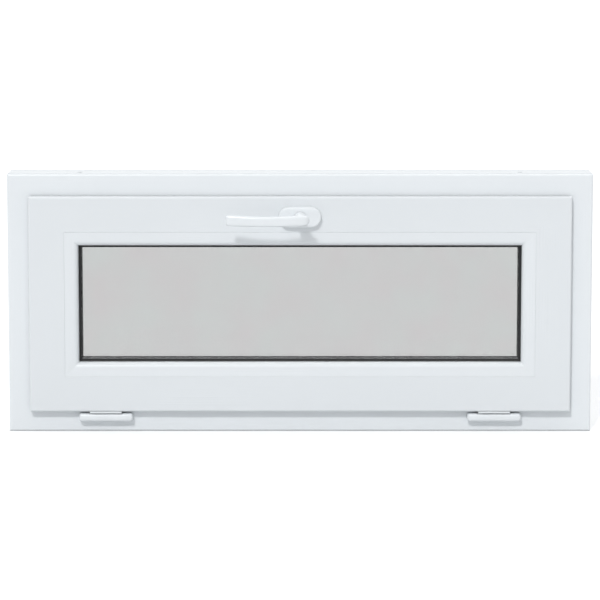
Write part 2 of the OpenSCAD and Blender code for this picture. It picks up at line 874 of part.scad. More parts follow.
module faceplate_screw_places() {
    for (x = [-1, 1], place = plate_screw_x)
        translate([x * place, axis_d, body_h0]) children();
}

module lock_faceplate() {
    color(STEEL) at_top() difference() {
        translate([-faceplate_end, axis_d - faceplate_w / 2 + touch, body_h0])
            cube([2 * faceplate_end, faceplate_w - 2 * touch, faceplate_t]);
        for (x = [-1, 1]) translate([x * cam_x - rod_travel / 2, axis_d, body_h0 - 1])
            linear_extrude(faceplate_t + 2) slot_2d(rod_travel + 0.4, cam_stem_r + slide);
        faceplate_screw_places() screw_hole(8);
    }
}

module faceplate_screws() {
    color(STEEL) at_top() faceplate_screw_places() screw(14);
}

// ---------- handle ----------

// Children drawn as (x, d, up) round the spindle
module at_spindle() {
    translate([0, -frame_depth / 2, handle_z]) children();
}

module handle_spindle() {
    from = lever_back_d + 2;
    to = axis_d + case_t / 2;
    color(STEEL) at_spindle() translate([-spindle / 2, from, -spindle / 2])
        cube([spindle, to - from, spindle]);
}

module handle_base() {
    color(ZINC) at_spindle() translate([0, -sash_proud - base_t, 0]) difference() {
        into_depth() linear_extrude(base_t) slot_2d(base_l - 27, 13.5);
        translate([0, -1, 0]) into_depth() cylinder(h = base_t + 2, r = neck_r + run);
        for (x = [-handle_screw_x, handle_screw_x])
            translate([x, 0, 0]) into_depth() screw_hole(base_t + 1, handle_screw_r, 4.6);
    }
}

module handle_screws() {
    color(STEEL) at_spindle() for (x = [-handle_screw_x, handle_screw_x])
        translate([x, -sash_proud - base_t, 0]) into_depth()
            screw(sash_proud + base_t + axis_d + 4, handle_screw_r, 4.6);
}

module handle_rosette() {
    straight = rosette_l - rosette_h;
    edge = 2.5;
    color(PVC) at_spindle() translate([0, -sash_proud, 0]) difference() {
        union() {
            translate([0, -rosette_t + edge, 0]) into_depth()
                linear_extrude(rosette_t - edge) slot_2d(straight, rosette_h / 2);
            hull() {
                translate([0, -rosette_t, 0]) into_depth()
                    linear_extrude(tiny) stadium(rosette_l - 2 * edge, rosette_h - 2 * edge);
                translate([0, -rosette_t + edge * 0.3, 0]) into_depth()
                    linear_extrude(tiny) stadium(rosette_l - 0.8 * edge, rosette_h - 0.8 * edge);
                translate([0, -rosette_t + edge, 0]) into_depth()
                    linear_extrude(tiny) stadium(rosette_l, rosette_h);
            }
        }
        translate([0, -rosette_t + cover_shell, 0]) into_depth()
            linear_extrude(rosette_t) slot_2d(straight, rosette_h / 2 - 1.5 * cover_shell);
        translate([0, -rosette_t - 1, 0]) into_depth() cylinder(h = rosette_t, r = neck_r + run);
    }
}

// How far the lever's back stands out at share t of its length
function bow(t) = lever_bow * sin(180 * t);

module handle_lever() {
    hole = spindle + 2 * touch;
    back = function(t) lever_back_d - bow(t);
    across = function(t) lever_root - t * (lever_root + lever_l);
    color(PVC) at_spindle() difference() {
        union() {
            translate([0, lever_back_d - lever_t / 2, 0]) into_depth()
                cylinder(h = -lever_back_d + lever_t / 2 - sash_proud - 0.3, r = neck_r);
            intersection() {
                translate([0, 0, -lever_h / 2]) linear_extrude(lever_h) polygon(concat(
                    [for (i = [0 : bow_steps]) [across(i / bow_steps), back(i / bow_steps)]],
                    [for (i = [bow_steps : -1 : 0])
                        [across(i / bow_steps), back(i / bow_steps) - lever_t + (i == 0 ? 4 : 0)]]));
                translate([(lever_root - lever_l) / 2, 0, 0]) rotate([90, 0, 0])
                    linear_extrude(200) difference() {
                        w = lever_root + lever_l;
                        square([w, lever_h], center = true);
                        for (z = [-1, 1]) {
                            corner_cut([w / 2, z * lever_h / 2], [-1, -z], 6);
                            corner_cut([-w / 2, z * lever_h / 2], [1, -z], 2);
                        }
                    }
            }
        }
        translate([-hole / 2, lever_back_d + 2, -hole / 2]) cube([hole, lever_stand, hole]);
    }
}

// ---------- stays ----------

// Children drawn with the track along +Z from the hinge axis, as (h, across, along)
module on_track(k) {
    at_jamb(k) translate([0, hinge_d, hinge_h]) rotate([-track_angle, 0, 0]) children();
}

module stay_arm(k) {
    hole = pivot_r + run;
    color(STEEL) on_track(k) difference() {
        union() {
            translate([stay_h0, -stay_arm_w / 2, stay_l]) cube([stay_arm_t, stay_arm_w, stay_l]);
            for (z = [stay_l, 2 * stay_l]) translate([stay_h0, 0, z]) rotate([0, 90, 0])
                cylinder(h = stay_arm_t, r = stay_arm_w / 2);
            translate([stay_h0, 0, 2 * stay_l]) rotate([0, 90, 0])
                cylinder(h = body_h0 - slide - stay_h0, r = roller_pin_r);
        }
        translate([stay_h0 - 1, 0, stay_l]) rotate([0, 90, 0]) cylinder(h = stay_arm_t + 2, r = hole);
    }
}

module stay_roller(k) {
    from = stay_h0 + stay_arm_t + touch;
    color(NYLON) on_track(k) translate([from, 0, 2 * stay_l]) rotate([0, 90, 0]) difference() {
        cylinder(h = body_h0 - slide - from, r = roller_r);
        translate([0, 0, -1]) cylinder(h = body_h0, r = roller_pin_r + touch / 2);
    }
}

// Where the stay turns on the frame, as (h, d, z)
module at_bracket(k) {
    at_jamb(k) translate([frame_rebate_h, hinge_d + stay_l * sin(track_angle),
                          hinge_h + stay_l * cos(track_angle)]) children();
}

module bracket_screw_places(k) {
    at_bracket(k) for (s = [-1, 1])
        translate([bracket_t, 0, s * (bracket_l / 2 - 8)]) rotate([0, -90, 0]) children();
}

module stay_bracket(k) {
    arm_h = stay_h0 - frame_rebate_h;
    cap_r = pivot_r + 2;
    color(ZINC) difference() {
        at_bracket(k) {
            translate([0, -bracket_w / 2, -bracket_l / 2]) cube([bracket_t, bracket_w, bracket_l]);
            rotate([0, 90, 0]) {
                cylinder(h = arm_h - slide, r = cap_r);
                cylinder(h = arm_h + stay_arm_t + slide, r = pivot_r);
                translate([0, 0, arm_h + stay_arm_t + slide]) cylinder(h = 1.2, r = cap_r);
            }
        }
        bracket_screw_places(k) screw_hole(bracket_t + 1);
    }
}

module stay_bracket_screws() {
    color(STEEL) for (k = [LEFT, RIGHT]) bracket_screw_places(k) screw(14);
}

module guide_screw_places(k) {
    d = stay_track_d + guide_w / 2 - 4.5;
    top = roller_z + guide_end;
    at_jamb(k) for (z = [top - 7, top - guide_l + 5])
        translate([body_h0 - guide_t, d, z]) rotate([0, 90, 0]) children();
}

module stay_guide(k) {
    color(ZINC) difference() {
        at_jamb(k)
            translate([
                body_h0 - guide_t,
                stay_track_d - guide_w / 2,
                roller_z + guide_end - guide_l
            ])
                cube([guide_t, guide_w, guide_l]);
        on_track(k) translate([body_h0 - guide_t - 1, 0, track_reach - guide_travel / 2])
            rotate([0, 90, 0]) linear_extrude(guide_t + 2) slot_2d(guide_travel + slide, roller_r + 0.1);
        guide_screw_places(k) screw_hole(guide_t + 1);
    }
}

module stay_guide_screws() {
    color(STEEL) for (k = [LEFT, RIGHT]) guide_screw_places(k) screw(14);
}

// ---------- the window ----------

frame_head();
frame_sill();
frame_jamb(LEFT);  // frame_jamb_left
frame_jamb(RIGHT);  // frame_jamb_right
frame_reinforcement();
frame_seal();
keep(-1);  // keep_left
keep(1);  // keep_right
keep_screws();
hinge_frame_leaf(-1);  // hinge_frame_leaf_left
hinge_frame_leaf(1);  // hinge_frame_leaf_right
hinge_pin(-1);  // hinge_pin_left
hinge_pin(1);  // hinge_pin_right
hinge_cover(-1);  // hinge_cover_left
hinge_cover(1);  // hinge_cover_right
frame_leaf_screws();
stay_bracket(LEFT);  // stay_bracket_left
stay_bracket(RIGHT);  // stay_bracket_right
stay_bracket_screws();
drain_caps();
sash_top_rail();
sash_bottom_rail();
sash_stile(LEFT);  // sash_stile_left
sash_stile(RIGHT);  // sash_stile_right
sash_reinforcement();
sash_seal();
bead(TOP);  // bead_top
bead(BOTTOM);  // bead_bottom
bead(LEFT);  // bead_left
bead(RIGHT);  // bead_right
bead_gasket();
pane(glass_front);  // room_pane
pane(glass_mid_back);  // weather_pane
glass_spacer();
glass_edge_seal();
weather_gasket();
glazing_packers();
gearbox_case();
lock_faceplate();
faceplate_screws();
handle_base();
handle_rosette();
handle_screws();
hinge_sash_leaf(-1);  // hinge_sash_leaf_left
hinge_sash_leaf(1);  // hinge_sash_leaf_right
sash_leaf_screws();
stay_guide(LEFT);  // stay_guide_left
stay_guide(RIGHT);  // stay_guide_right
stay_guide_screws();
handle_lever();
handle_spindle();
gear_pinion();
drive_rod();
lock_cams();
stay_arm(LEFT);  // stay_arm_left
stay_arm(RIGHT);  // stay_arm_right
stay_roller(LEFT);  // stay_roller_left
stay_roller(RIGHT);  // stay_roller_right
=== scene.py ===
# %% [markdown]
# # A bottom-hung casement window
# A white plastic window, 900 by 400 mm, whose sash leans into the room on two hinges at its foot and is
# locked by a lever at its head. The measured model is loaded first and stays where it is. Then come the
# camera, the floor and the lights, the finishes, and the pieces whose real surfaces are rounder or finer
# than the measured ones.

# %% Load the measured window
import json
import math

import bpy
import numpy as np
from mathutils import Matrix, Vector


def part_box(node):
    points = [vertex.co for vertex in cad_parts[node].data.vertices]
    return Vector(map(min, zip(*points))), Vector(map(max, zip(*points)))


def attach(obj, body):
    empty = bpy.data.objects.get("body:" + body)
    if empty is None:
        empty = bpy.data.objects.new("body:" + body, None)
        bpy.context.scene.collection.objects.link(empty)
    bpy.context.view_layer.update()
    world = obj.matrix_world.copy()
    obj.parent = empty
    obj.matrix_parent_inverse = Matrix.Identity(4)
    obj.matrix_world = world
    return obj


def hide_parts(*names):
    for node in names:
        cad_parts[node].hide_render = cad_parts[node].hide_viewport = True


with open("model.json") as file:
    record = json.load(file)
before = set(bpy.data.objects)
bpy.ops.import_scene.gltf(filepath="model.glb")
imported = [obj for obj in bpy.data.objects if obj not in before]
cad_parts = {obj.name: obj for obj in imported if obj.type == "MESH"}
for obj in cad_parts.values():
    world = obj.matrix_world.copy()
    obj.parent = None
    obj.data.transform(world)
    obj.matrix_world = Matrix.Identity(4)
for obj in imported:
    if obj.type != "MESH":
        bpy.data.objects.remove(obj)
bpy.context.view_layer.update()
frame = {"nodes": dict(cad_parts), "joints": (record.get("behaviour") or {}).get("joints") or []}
nodes = frame["nodes"]

# %% [markdown]
# ## Where things are
# Places come from the measured nodes' own boxes, or are given in millimetres along two directions: `h` runs
# inward from the window's outer edge, and `d` runs from the frame's room face out to the weather.

# %% Sizes read from the model
MM = 0.001
LEFT, FACE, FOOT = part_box("frame_jamb_left")[0]
RIGHT, WEATHER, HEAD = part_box("frame_jamb_right")[1]
print("window", RIGHT - LEFT, "by", HEAD - FOOT, "room face at", FACE, "weather face at", WEATHER)

# %% [markdown]
# ## The camera
# The window is seen straight on from a little over four metres and a little above. A long lens keeps the
# profiles parallel, and a small vertical shift lets the camera tilt less than it would have to, so that
# the uprights hardly lean.

# %% Place the camera
DISTANCE = 4.2
RISE = math.radians(8.6)
PITCH = math.radians(6.636)
SHIFT = -0.15
LENS = 163.27
aim = np.array([0.0, FACE, (FOOT + HEAD) / 2])
camera = bpy.data.objects.new("camera", bpy.data.cameras.new("camera"))
camera.data.sensor_width = 36.0
camera.data.lens = LENS
camera.data.shift_y = SHIFT
camera.data.clip_start, camera.data.clip_end = 0.05, 200.0
camera.location = aim + DISTANCE * np.array([0.0, -math.cos(RISE), math.sin(RISE)])
camera.rotation_euler = (math.radians(90) - PITCH, 0.0, 0.0)
bpy.context.scene.collection.objects.link(camera)
bpy.context.scene.camera = camera
print("lens", LENS, "mm,", DISTANCE, "m away")

# %% [markdown]
# ## Small tools for node materials
# A material is a little tree of nodes. `add_node` makes one node and sets its plain values. `new_group`
# starts a group with named inputs and outputs, which several materials can then share.

# %% Node helpers
KINDS = {"color": "NodeSocketColor", "value": "NodeSocketFloat", "vector": "NodeSocketVector"}


def add_node(tree, kind, values=None, **settings):
    """One new node, with its plain input values and its settings."""
    made = tree.nodes.new("ShaderNode" + kind)
    for name, value in settings.items():
        setattr(made, name, value)
    for name, value in (values or {}).items():
        made.inputs[name].default_value = value
    return made


def link(tree, source, target):
    """Joins an output socket to an input socket."""
    tree.links.new(source, target)


def new_group(name, inputs, outputs):
    """A shader group; inputs are (name, kind, value) and outputs (name, kind)."""
    tree = bpy.data.node_groups.new(name, "ShaderNodeTree")
    for label, kind, value in inputs:
        made = tree.interface.new_socket(label, in_out="INPUT", socket_type=KINDS[kind])
        if value is not None:
            made.default_value = value
    for label, kind in outputs:
        tree.interface.new_socket(label, in_out="OUTPUT", socket_type=KINDS[kind])
    return tree, tree.nodes.new("NodeGroupInput"), tree.nodes.new("NodeGroupOutput")


def place_group(tree, group, values=None):
    """A copy of a group inside a material or another group."""
    made = tree.nodes.new("ShaderNodeGroup")
    made.node_tree = group
    for name, value in (values or {}).items():
        made.inputs[name].default_value = value
    return made


def math_node(tree, operation, a, b):
    """One sum on two sockets or numbers; gives the output socket."""
    made = add_node(tree, "Math", operation=operation)
    for socket, term in zip(made.inputs, (a, b)):
        if isinstance(term, (int, float)):
            socket.default_value = term
        else:
            link(tree, term, socket)
    return made.outputs[0]


def mix_colour(tree, share, a, b, blend="MIX"):
    """Two colours mixed by a share; each is a socket or a colour."""
    made = add_node(tree, "Mix", data_type="RGBA", blend_type=blend)
    for socket, term in zip((made.inputs[0], made.inputs[6], made.inputs[7]), (share, a, b)):
        if isinstance(term, bpy.types.NodeSocket):
            link(tree, term, socket)
        else:
            socket.default_value = term
    return made.outputs[2]


def ramp(tree, source, low, high, to_low=0.0, to_high=1.0):
    """Stretches a value from low..high to to_low..to_high and stops there."""
    made = add_node(tree, "MapRange", {"From Min": low, "From Max": high, "To Min": to_low,
                                       "To Max": to_high})
    link(tree, source, made.inputs["Value"])
    return made.outputs["Result"]


def srgb(code):
    """A colour from its usual six-figure code, as the linear numbers that Blender works in."""
    part = np.array([int(code[i:i + 2], 16) for i in (0, 2, 4)]) / 255
    linear = np.where(part <= 0.04045, part / 12.92, ((part + 0.055) / 1.055) ** 2.4)
    return (*linear.tolist(), 1.0)


print("node helpers ready")

# %% [markdown]
# ## Floor and light
# A small studio: a pale floor, a sky that is brighter overhead and brightest behind the window, like a
# white wall, one lamp high at the left for the shadows under the sash and the lever, and a weaker, wider
# one from behind that picks out the top edges. The floor is light grey for the light that it throws back,
# and gives off a little light of its own to the eye, so that it looks white right up to the window's foot
# and the undersides stay in shade.

# %% The floor
FLOOR_REACH = 60.0              # metres: far enough that no view sees its rim
FLOOR_GAP = 0.0004              # the floor lies this far under the window's foot
FLOOR_GLOW = 0.32


def disc(radius, rings=6, steps=96):
    """A flat round floor: ring radii grow as a square, and each ring is a circle of points."""
    r = radius * np.linspace(0, 1, rings + 1)[1:, None] ** 2
    turn = np.linspace(0, 2 * np.pi, steps, endpoint=False)[None, :]
    rim = np.stack([r * np.cos(turn), r * np.sin(turn), 0 * r * turn], -1).reshape(-1, 3)
    i, k = np.arange(rings - 1)[:, None] * steps, np.arange(steps)[None, :]
    after = (k + 1) % steps
    bands = np.stack([i + k, i + steps + k, i + steps + after, i + after], -1).reshape(-1, 4)
    return rim, [list(range(steps))] + bands.tolist()


points, faces = disc(FLOOR_REACH)
floor_mesh = bpy.data.meshes.new("studio_floor")
floor_mesh.from_pydata((points + [0, 0, FOOT - FLOOR_GAP]).tolist(), [], faces)
floor = bpy.data.objects.new("studio_floor", floor_mesh)
bpy.context.scene.collection.objects.link(floor)

paint = bpy.data.materials.new("studio floor paint")
paint.use_nodes = True
tree = paint.node_tree
shader = tree.nodes["Principled BSDF"]
grain = add_node(tree, "TexNoise", {"Scale": 30.0, "Detail": 3.0})
link(tree, add_node(tree, "TexCoord").outputs["Object"], grain.inputs["Vector"])
link(tree, mix_colour(tree, ramp(tree, grain.outputs[0], 0.3, 0.7), srgb("e4e5e6"), srgb("e8e9ea")),
     shader.inputs["Base Color"])
path = add_node(tree, "LightPath")
seen = math_node(tree, "MAXIMUM", path.outputs["Is Camera Ray"], path.outputs["Is Transmission Ray"])
link(tree, math_node(tree, "MULTIPLY", seen, FLOOR_GLOW), shader.inputs["Emission Strength"])
shader.inputs["Roughness"].default_value = 0.9
shader.inputs["Specular IOR Level"].default_value = 0.1
shader.inputs["Emission Color"].default_value = (1.0, 1.0, 1.0, 1.0)
floor_mesh.materials.append(paint)

# %% The sky and the lamps
KEY_FROM = (-0.29, -1.0, 0.88)      # the way from the window towards the main lamp
BACK_FROM = (0.35, 0.75, 1.25)      # and towards the weaker one behind
KEY_POWER, KEY_SPREAD = 1.25, 6     # watts to a square metre, and degrees across
BACK_POWER, BACK_SPREAD = 0.5, 30
SKY_LOW, SKY_HIGH, WALL, EYE_SKY = 0.41, 0.79, 0.95, 1.05
scene = bpy.context.scene
scene.view_settings.view_transform = "Standard"

world = bpy.data.worlds.new("studio sky")
scene.world = world
world.use_nodes = True
tree = world.node_tree
backdrop = tree.nodes["Background"]
height = add_node(tree, "SeparateXYZ")
link(tree, add_node(tree, "TexCoord").outputs["Generated"], height.inputs[0])
glow = ramp(tree, height.outputs["Z"], 0.0, 0.9, SKY_LOW, SKY_HIGH)
path = add_node(tree, "LightPath")
wall = math_node(tree, "MULTIPLY", ramp(tree, height.outputs["Y"], -0.05, 0.35),
                 math_node(tree, "MAXIMUM", path.outputs["Is Glossy Ray"],
                           path.outputs["Is Transmission Ray"]))
for share, level in ((wall, WALL), (path.outputs["Is Camera Ray"], EYE_SKY)):
    bright = add_node(tree, "Mix", data_type="FLOAT")
    link(tree, share, bright.inputs[0])
    link(tree, glow, bright.inputs[2])
    bright.inputs[3].default_value = level
    glow = bright.outputs[0]
link(tree, glow, backdrop.inputs["Strength"])
backdrop.inputs["Color"].default_value = (0.985, 0.993, 1.0, 1.0)


def sun(name, towards, power, spread):
    """A distant lamp that shines from one direction, as wide as the given angle."""
    lamp = bpy.data.objects.new(name, bpy.data.lights.new(name, "SUN"))
    lamp.data.energy, lamp.data.angle = power, math.radians(spread)
    lamp.rotation_euler = (-Vector(towards)).to_track_quat("-Z", "Y").to_euler()
    scene.collection.objects.link(lamp)
    return lamp


sun("key lamp", KEY_FROM, KEY_POWER, KEY_SPREAD)
sun("back lamp", BACK_FROM, BACK_POWER, BACK_SPREAD)
print("floor, sky and two lamps")

# %% [markdown]
# ## Shared effects
# Three effects come back in many of the finishes, so each is a group: the fine drawn lines and orange peel
# that extrusion leaves on a profile, the small grain of a moulded or lacquered part, and a grey where two
# pieces meet, partly a dusty film and partly painted crease shade, since it follows ambient occlusion into
# creases and gaps. They give out colours, roughness and heights only; the shader itself stays in each
# material.

# %% Group: skin of an extruded profile
tree, given, out = new_group(
    "drawn skin",
    [("Drawn", "vector", None), ("Place", "vector", None), ("Colour", "color", None),
     ("Shade", "color", None), ("Roughness", "value", 0.3), ("Lines", "value", 0.5)],
    [("Colour", "color"), ("Roughness", "value"), ("Height", "value")])
lines = add_node(tree, "TexNoise", {"Scale": 1.0, "Detail": 4.0, "Roughness": 0.6})
link(tree, given.outputs["Drawn"], lines.inputs["Vector"])
peel = add_node(tree, "TexNoise", {"Scale": 520.0, "Detail": 2.0})
link(tree, given.outputs["Place"], peel.inputs["Vector"])
cloud = add_node(tree, "TexNoise", {"Scale": 7.0, "Detail": 3.0})
link(tree, given.outputs["Place"], cloud.inputs["Vector"])
share = ramp(tree, math_node(tree, "ADD", cloud.outputs[0],
                             math_node(tree, "MULTIPLY", lines.outputs[0], 0.10)), 0.35, 0.85)
link(tree, mix_colour(tree, share, given.outputs["Colour"], given.outputs["Shade"]), out.inputs["Colour"])
wander = ramp(tree, lines.outputs[0], 0.3, 0.7, -0.02, 0.02)
link(tree, math_node(tree, "ADD", given.outputs["Roughness"],
                     math_node(tree, "ADD", wander, ramp(tree, share, 0, 1, -0.03, 0.04))),
     out.inputs["Roughness"])
link(tree, math_node(tree, "ADD", math_node(tree, "MULTIPLY", lines.outputs[0], given.outputs["Lines"]),
                     math_node(tree, "MULTIPLY", peel.outputs[0], 0.35)), out.inputs["Height"])
drawn_skin = tree

# %% Group: grain of a moulded or lacquered part
tree, given, out = new_group(
    "moulded grain",
    [("Place", "vector", None), ("Colour", "color", None), ("Shade", "color", None),
     ("Roughness", "value", 0.35), ("Grain", "value", 1500.0)],
    [("Colour", "color"), ("Roughness", "value"), ("Height", "value")])
pebble = add_node(tree, "TexVoronoi", feature="SMOOTH_F1")
pebble.inputs["Smoothness"].default_value = 0.6
link(tree, given.outputs["Place"], pebble.inputs["Vector"])
link(tree, given.outputs["Grain"], pebble.inputs["Scale"])
cloud = add_node(tree, "TexNoise", {"Scale": 45.0, "Detail": 4.0})
link(tree, given.outputs["Place"], cloud.inputs["Vector"])
share = ramp(tree, cloud.outputs[0], 0.35, 0.7)
link(tree, mix_colour(tree, share, given.outputs["Colour"], given.outputs["Shade"]), out.inputs["Colour"])
link(tree, math_node(tree, "ADD", given.outputs["Roughness"], ramp(tree, share, 0, 1, -0.04, 0.05)),
     out.inputs["Roughness"])
link(tree, math_node(tree, "ADD", math_node(tree, "MULTIPLY", pebble.outputs[0], 0.8),
                     math_node(tree, "MULTIPLY", cloud.outputs[0], 0.6)), out.inputs["Height"])
moulded_grain = tree

# %% Group: dusty film and painted crease shade where pieces meet
# This group paints shade: it greys the colour where ambient occlusion finds pieces meeting, partly as a dusty
# film and partly as painted crease shade.
tree, given, out = new_group(
    "settled dust",
    [("Place", "vector", None), ("Colour", "color", None), ("Dust", "color", None),
     ("Reach", "value", 0.004), ("Amount", "value", 0.3)],
    [("Colour", "color"), ("Share", "value")])
# painted crease shade: ambient occlusion finds creases and gaps between parts, where shade falls
crease_shade_ao = add_node(tree, "AmbientOcclusion", samples=6)
link(tree, given.outputs["Reach"], crease_shade_ao.inputs["Distance"])
speck = add_node(tree, "TexNoise", {"Scale": 160.0, "Detail": 5.0})
link(tree, given.outputs["Place"], speck.inputs["Vector"])
# the share grows where occlusion is deeper, broken up by a fine speckle: dusty film and painted crease shade
# in one mix
share = math_node(tree, "MULTIPLY", ramp(tree, crease_shade_ao.outputs["AO"], 0.25, 0.85, 1.0, 0.0),
                  ramp(tree, speck.outputs[0], 0.3, 0.65, 0.5, 1.0))
share = math_node(tree, "MULTIPLY", share, given.outputs["Amount"])
link(tree, mix_colour(tree, share, given.outputs["Colour"], given.outputs["Dust"]), out.inputs["Colour"])
link(tree, share, out.inputs["Share"])
dust_and_crease_shade = tree
print("groups", [g.name for g in bpy.data.node_groups])

# %% [markdown]
# ## The white plastic profile
# Frame, sash and beads are pushed through a die, so their skin has very faint lines along the length.
# Object coordinates are stretched: one step along the profile, hundreds across it. A rail lies along X and
# an upright along Z, so the same finish is made twice with the stretch turned. The sash and the beads get
# the frame's white made a shade darker, which is painted shade on one and the same white plastic.

# %% A finish for extruded plastic and rubber


def start_material(name):
    """An empty material with its shader and the object's own coordinates."""
    material = bpy.data.materials.new(name)
    material.use_nodes = True
    tree = material.node_tree
    place = add_node(tree, "TexCoord").outputs["Object"]
    return material, tree, tree.nodes["Principled BSDF"], place


def raise_surface(tree, shader, height, depth, strength=0.5):
    """Height in, shading normal out, through one Bump node; depth is in metres."""
    bump = add_node(tree, "Bump", {"Strength": strength, "Distance": depth})
    link(tree, height, bump.inputs["Height"])
    link(tree, bump.outputs["Normal"], shader.inputs["Normal"])


def extruded(name, stretch, colour, shade, roughness, lines, dust, amount, depth):
    """Drawn skin under a little dusty film, which is also painted crease shade."""
    material, tree, shader, place = start_material(name)
    drawn = add_node(tree, "Mapping", {"Scale": stretch})
    link(tree, place, drawn.inputs["Vector"])
    skin = place_group(tree, drawn_skin, {"Colour": srgb(colour), "Shade": srgb(shade),
                                          "Roughness": roughness, "Lines": lines})
    link(tree, drawn.outputs["Vector"], skin.inputs["Drawn"])
    link(tree, place, skin.inputs["Place"])
    # painted crease shade: the group greys the colour where pieces meet, together with a dusty film
    dust_shade_film = place_group(tree, dust_and_crease_shade, {"Dust": srgb(dust), "Amount": amount})
    link(tree, place, dust_shade_film.inputs["Place"])
    link(tree, skin.outputs["Colour"], dust_shade_film.inputs["Colour"])
    link(tree, dust_shade_film.outputs["Colour"], shader.inputs["Base Color"])
    link(tree, math_node(tree, "ADD", skin.outputs["Roughness"], dust_shade_film.outputs["Share"]),
         shader.inputs["Roughness"])
    raise_surface(tree, shader, skin.outputs["Height"], depth)
    return material


ALONG_X, ALONG_Z = (2.0, 2600.0, 2600.0), (2600.0, 2600.0, 2.0)
# the crease grey given here is a dusty colour and painted crease shade at once
WHITE = dict(colour="eaeef1", shade="e8ecef", roughness=0.30, lines=0.12, dust="b9bab2", amount=0.35,
             depth=0.00006)
rail_white = extruded("white profile, rails", ALONG_X, **WHITE)
upright_white = extruded("white profile, uprights", ALONG_Z, **WHITE)
# painted shade: the sash's white is the frame's white made darker
SASH_SHADED_WHITE = {**WHITE, "colour": "e4e8eb", "shade": "e2e6e9"}
sash_rail_shaded_white = extruded("sash profile, rails, shaded white", ALONG_X, **SASH_SHADED_WHITE)
sash_upright_shaded_white = extruded("sash profile, uprights, shaded white", ALONG_Z, **SASH_SHADED_WHITE)
# painted shade: the beads' white is the frame's white made a little darker
BEAD_SHADED_WHITE = {**WHITE, "colour": "e7ebee", "shade": "e5e9ec"}
bead_rail_shaded_white = extruded("bead profile, rails, shaded white", ALONG_X, **BEAD_SHADED_WHITE)
bead_upright_shaded_white = extruded("bead profile, uprights, shaded white", ALONG_Z, **BEAD_SHADED_WHITE)
PLASTIC_IOR = 1.5
for material in (rail_white, upright_white, sash_rail_shaded_white, sash_upright_shaded_white, bead_rail_shaded_white,
                 bead_upright_shaded_white):
    material.node_tree.nodes["Principled BSDF"].inputs["IOR"].default_value = PLASTIC_IOR
# the rubber's crease grey is likewise a dusty colour and painted crease shade
RUBBER = dict(colour="17181a", shade="202123", roughness=0.55, lines=0.9, dust="4a4a48", amount=0.25,
              depth=0.00008)
rubber = extruded("black seal rubber", (60.0, 900.0, 60.0), **RUBBER)
print("made", rail_white.name, upright_white.name, rubber.name)

# %% [markdown]
# ## Moulded and lacquered parts
# The lever and its rosette are cast metal under white powder coat, which flows out to a soft, slightly
# pebbled gloss. The hinge covers, drain caps and packers are moulded plastic with a spark-eroded grain,
# and the butyl and sealant round the glass have the same kind of skin, only rougher.

# %% A finish for moulded and lacquered parts


def moulded(name, colour, shade, roughness, grain, depth, coat=0.0, dust="b9bab2", amount=0.3):
    """Moulded grain, with a clear top coat where the real part has one."""
    material, tree, shader, place = start_material(name)
    skin = place_group(tree, moulded_grain, {"Colour": srgb(colour), "Shade": srgb(shade),
                                             "Roughness": roughness, "Grain": grain})
    link(tree, place, skin.inputs["Place"])
    # painted crease shade: the group greys the colour where pieces meet, together with a dusty film
    dust_shade_film = place_group(tree, dust_and_crease_shade, {"Dust": srgb(dust), "Amount": amount, "Reach": 0.003})
    link(tree, place, dust_shade_film.inputs["Place"])
    link(tree, skin.outputs["Colour"], dust_shade_film.inputs["Colour"])
    link(tree, dust_shade_film.outputs["Colour"], shader.inputs["Base Color"])
    link(tree, math_node(tree, "ADD", skin.outputs["Roughness"], dust_shade_film.outputs["Share"]),
         shader.inputs["Roughness"])
    shader.inputs["Coat Weight"].default_value = coat
    shader.inputs["Coat Roughness"].default_value = 0.12
    raise_surface(tree, shader, skin.outputs["Height"], depth)
    return material


lacquer = moulded("white powder coat", "eaeef1", "e7ebee", 0.32, 1100.0, 0.00004, coat=0.25)
cap_plastic = moulded("white moulded caps", "eaeef1", "e7ebee", 0.36, 1800.0, 0.00003)
sealant = moulded("black edge sealant", "121314", "1c1d1e", 0.6, 600.0, 0.0002, amount=0.1)
packer_plastic = moulded("blue packer plastic", "2f5fa8", "2a5598", 0.42, 1400.0, 0.00005)
nylon = moulded("nylon", "e4e0d4", "dcd7c9", 0.40, 1600.0, 0.00003)
print("made", lacquer.name, cap_plastic.name, sealant.name, packer_plastic.name, nylon.name)

# %% [markdown]
# ## Metal fittings
# Rods, plates and screws are steel with a thin zinc coat, rolled and then tumbled, so fine rolling lines
# and a slightly cloudy, blue to straw tint run over a bright metal. The keeps and the gear are cast, with
# a duller, sandier skin. The spacer between the panes is mill-finish aluminium.

# %% A finish for plated, cast and rolled metal


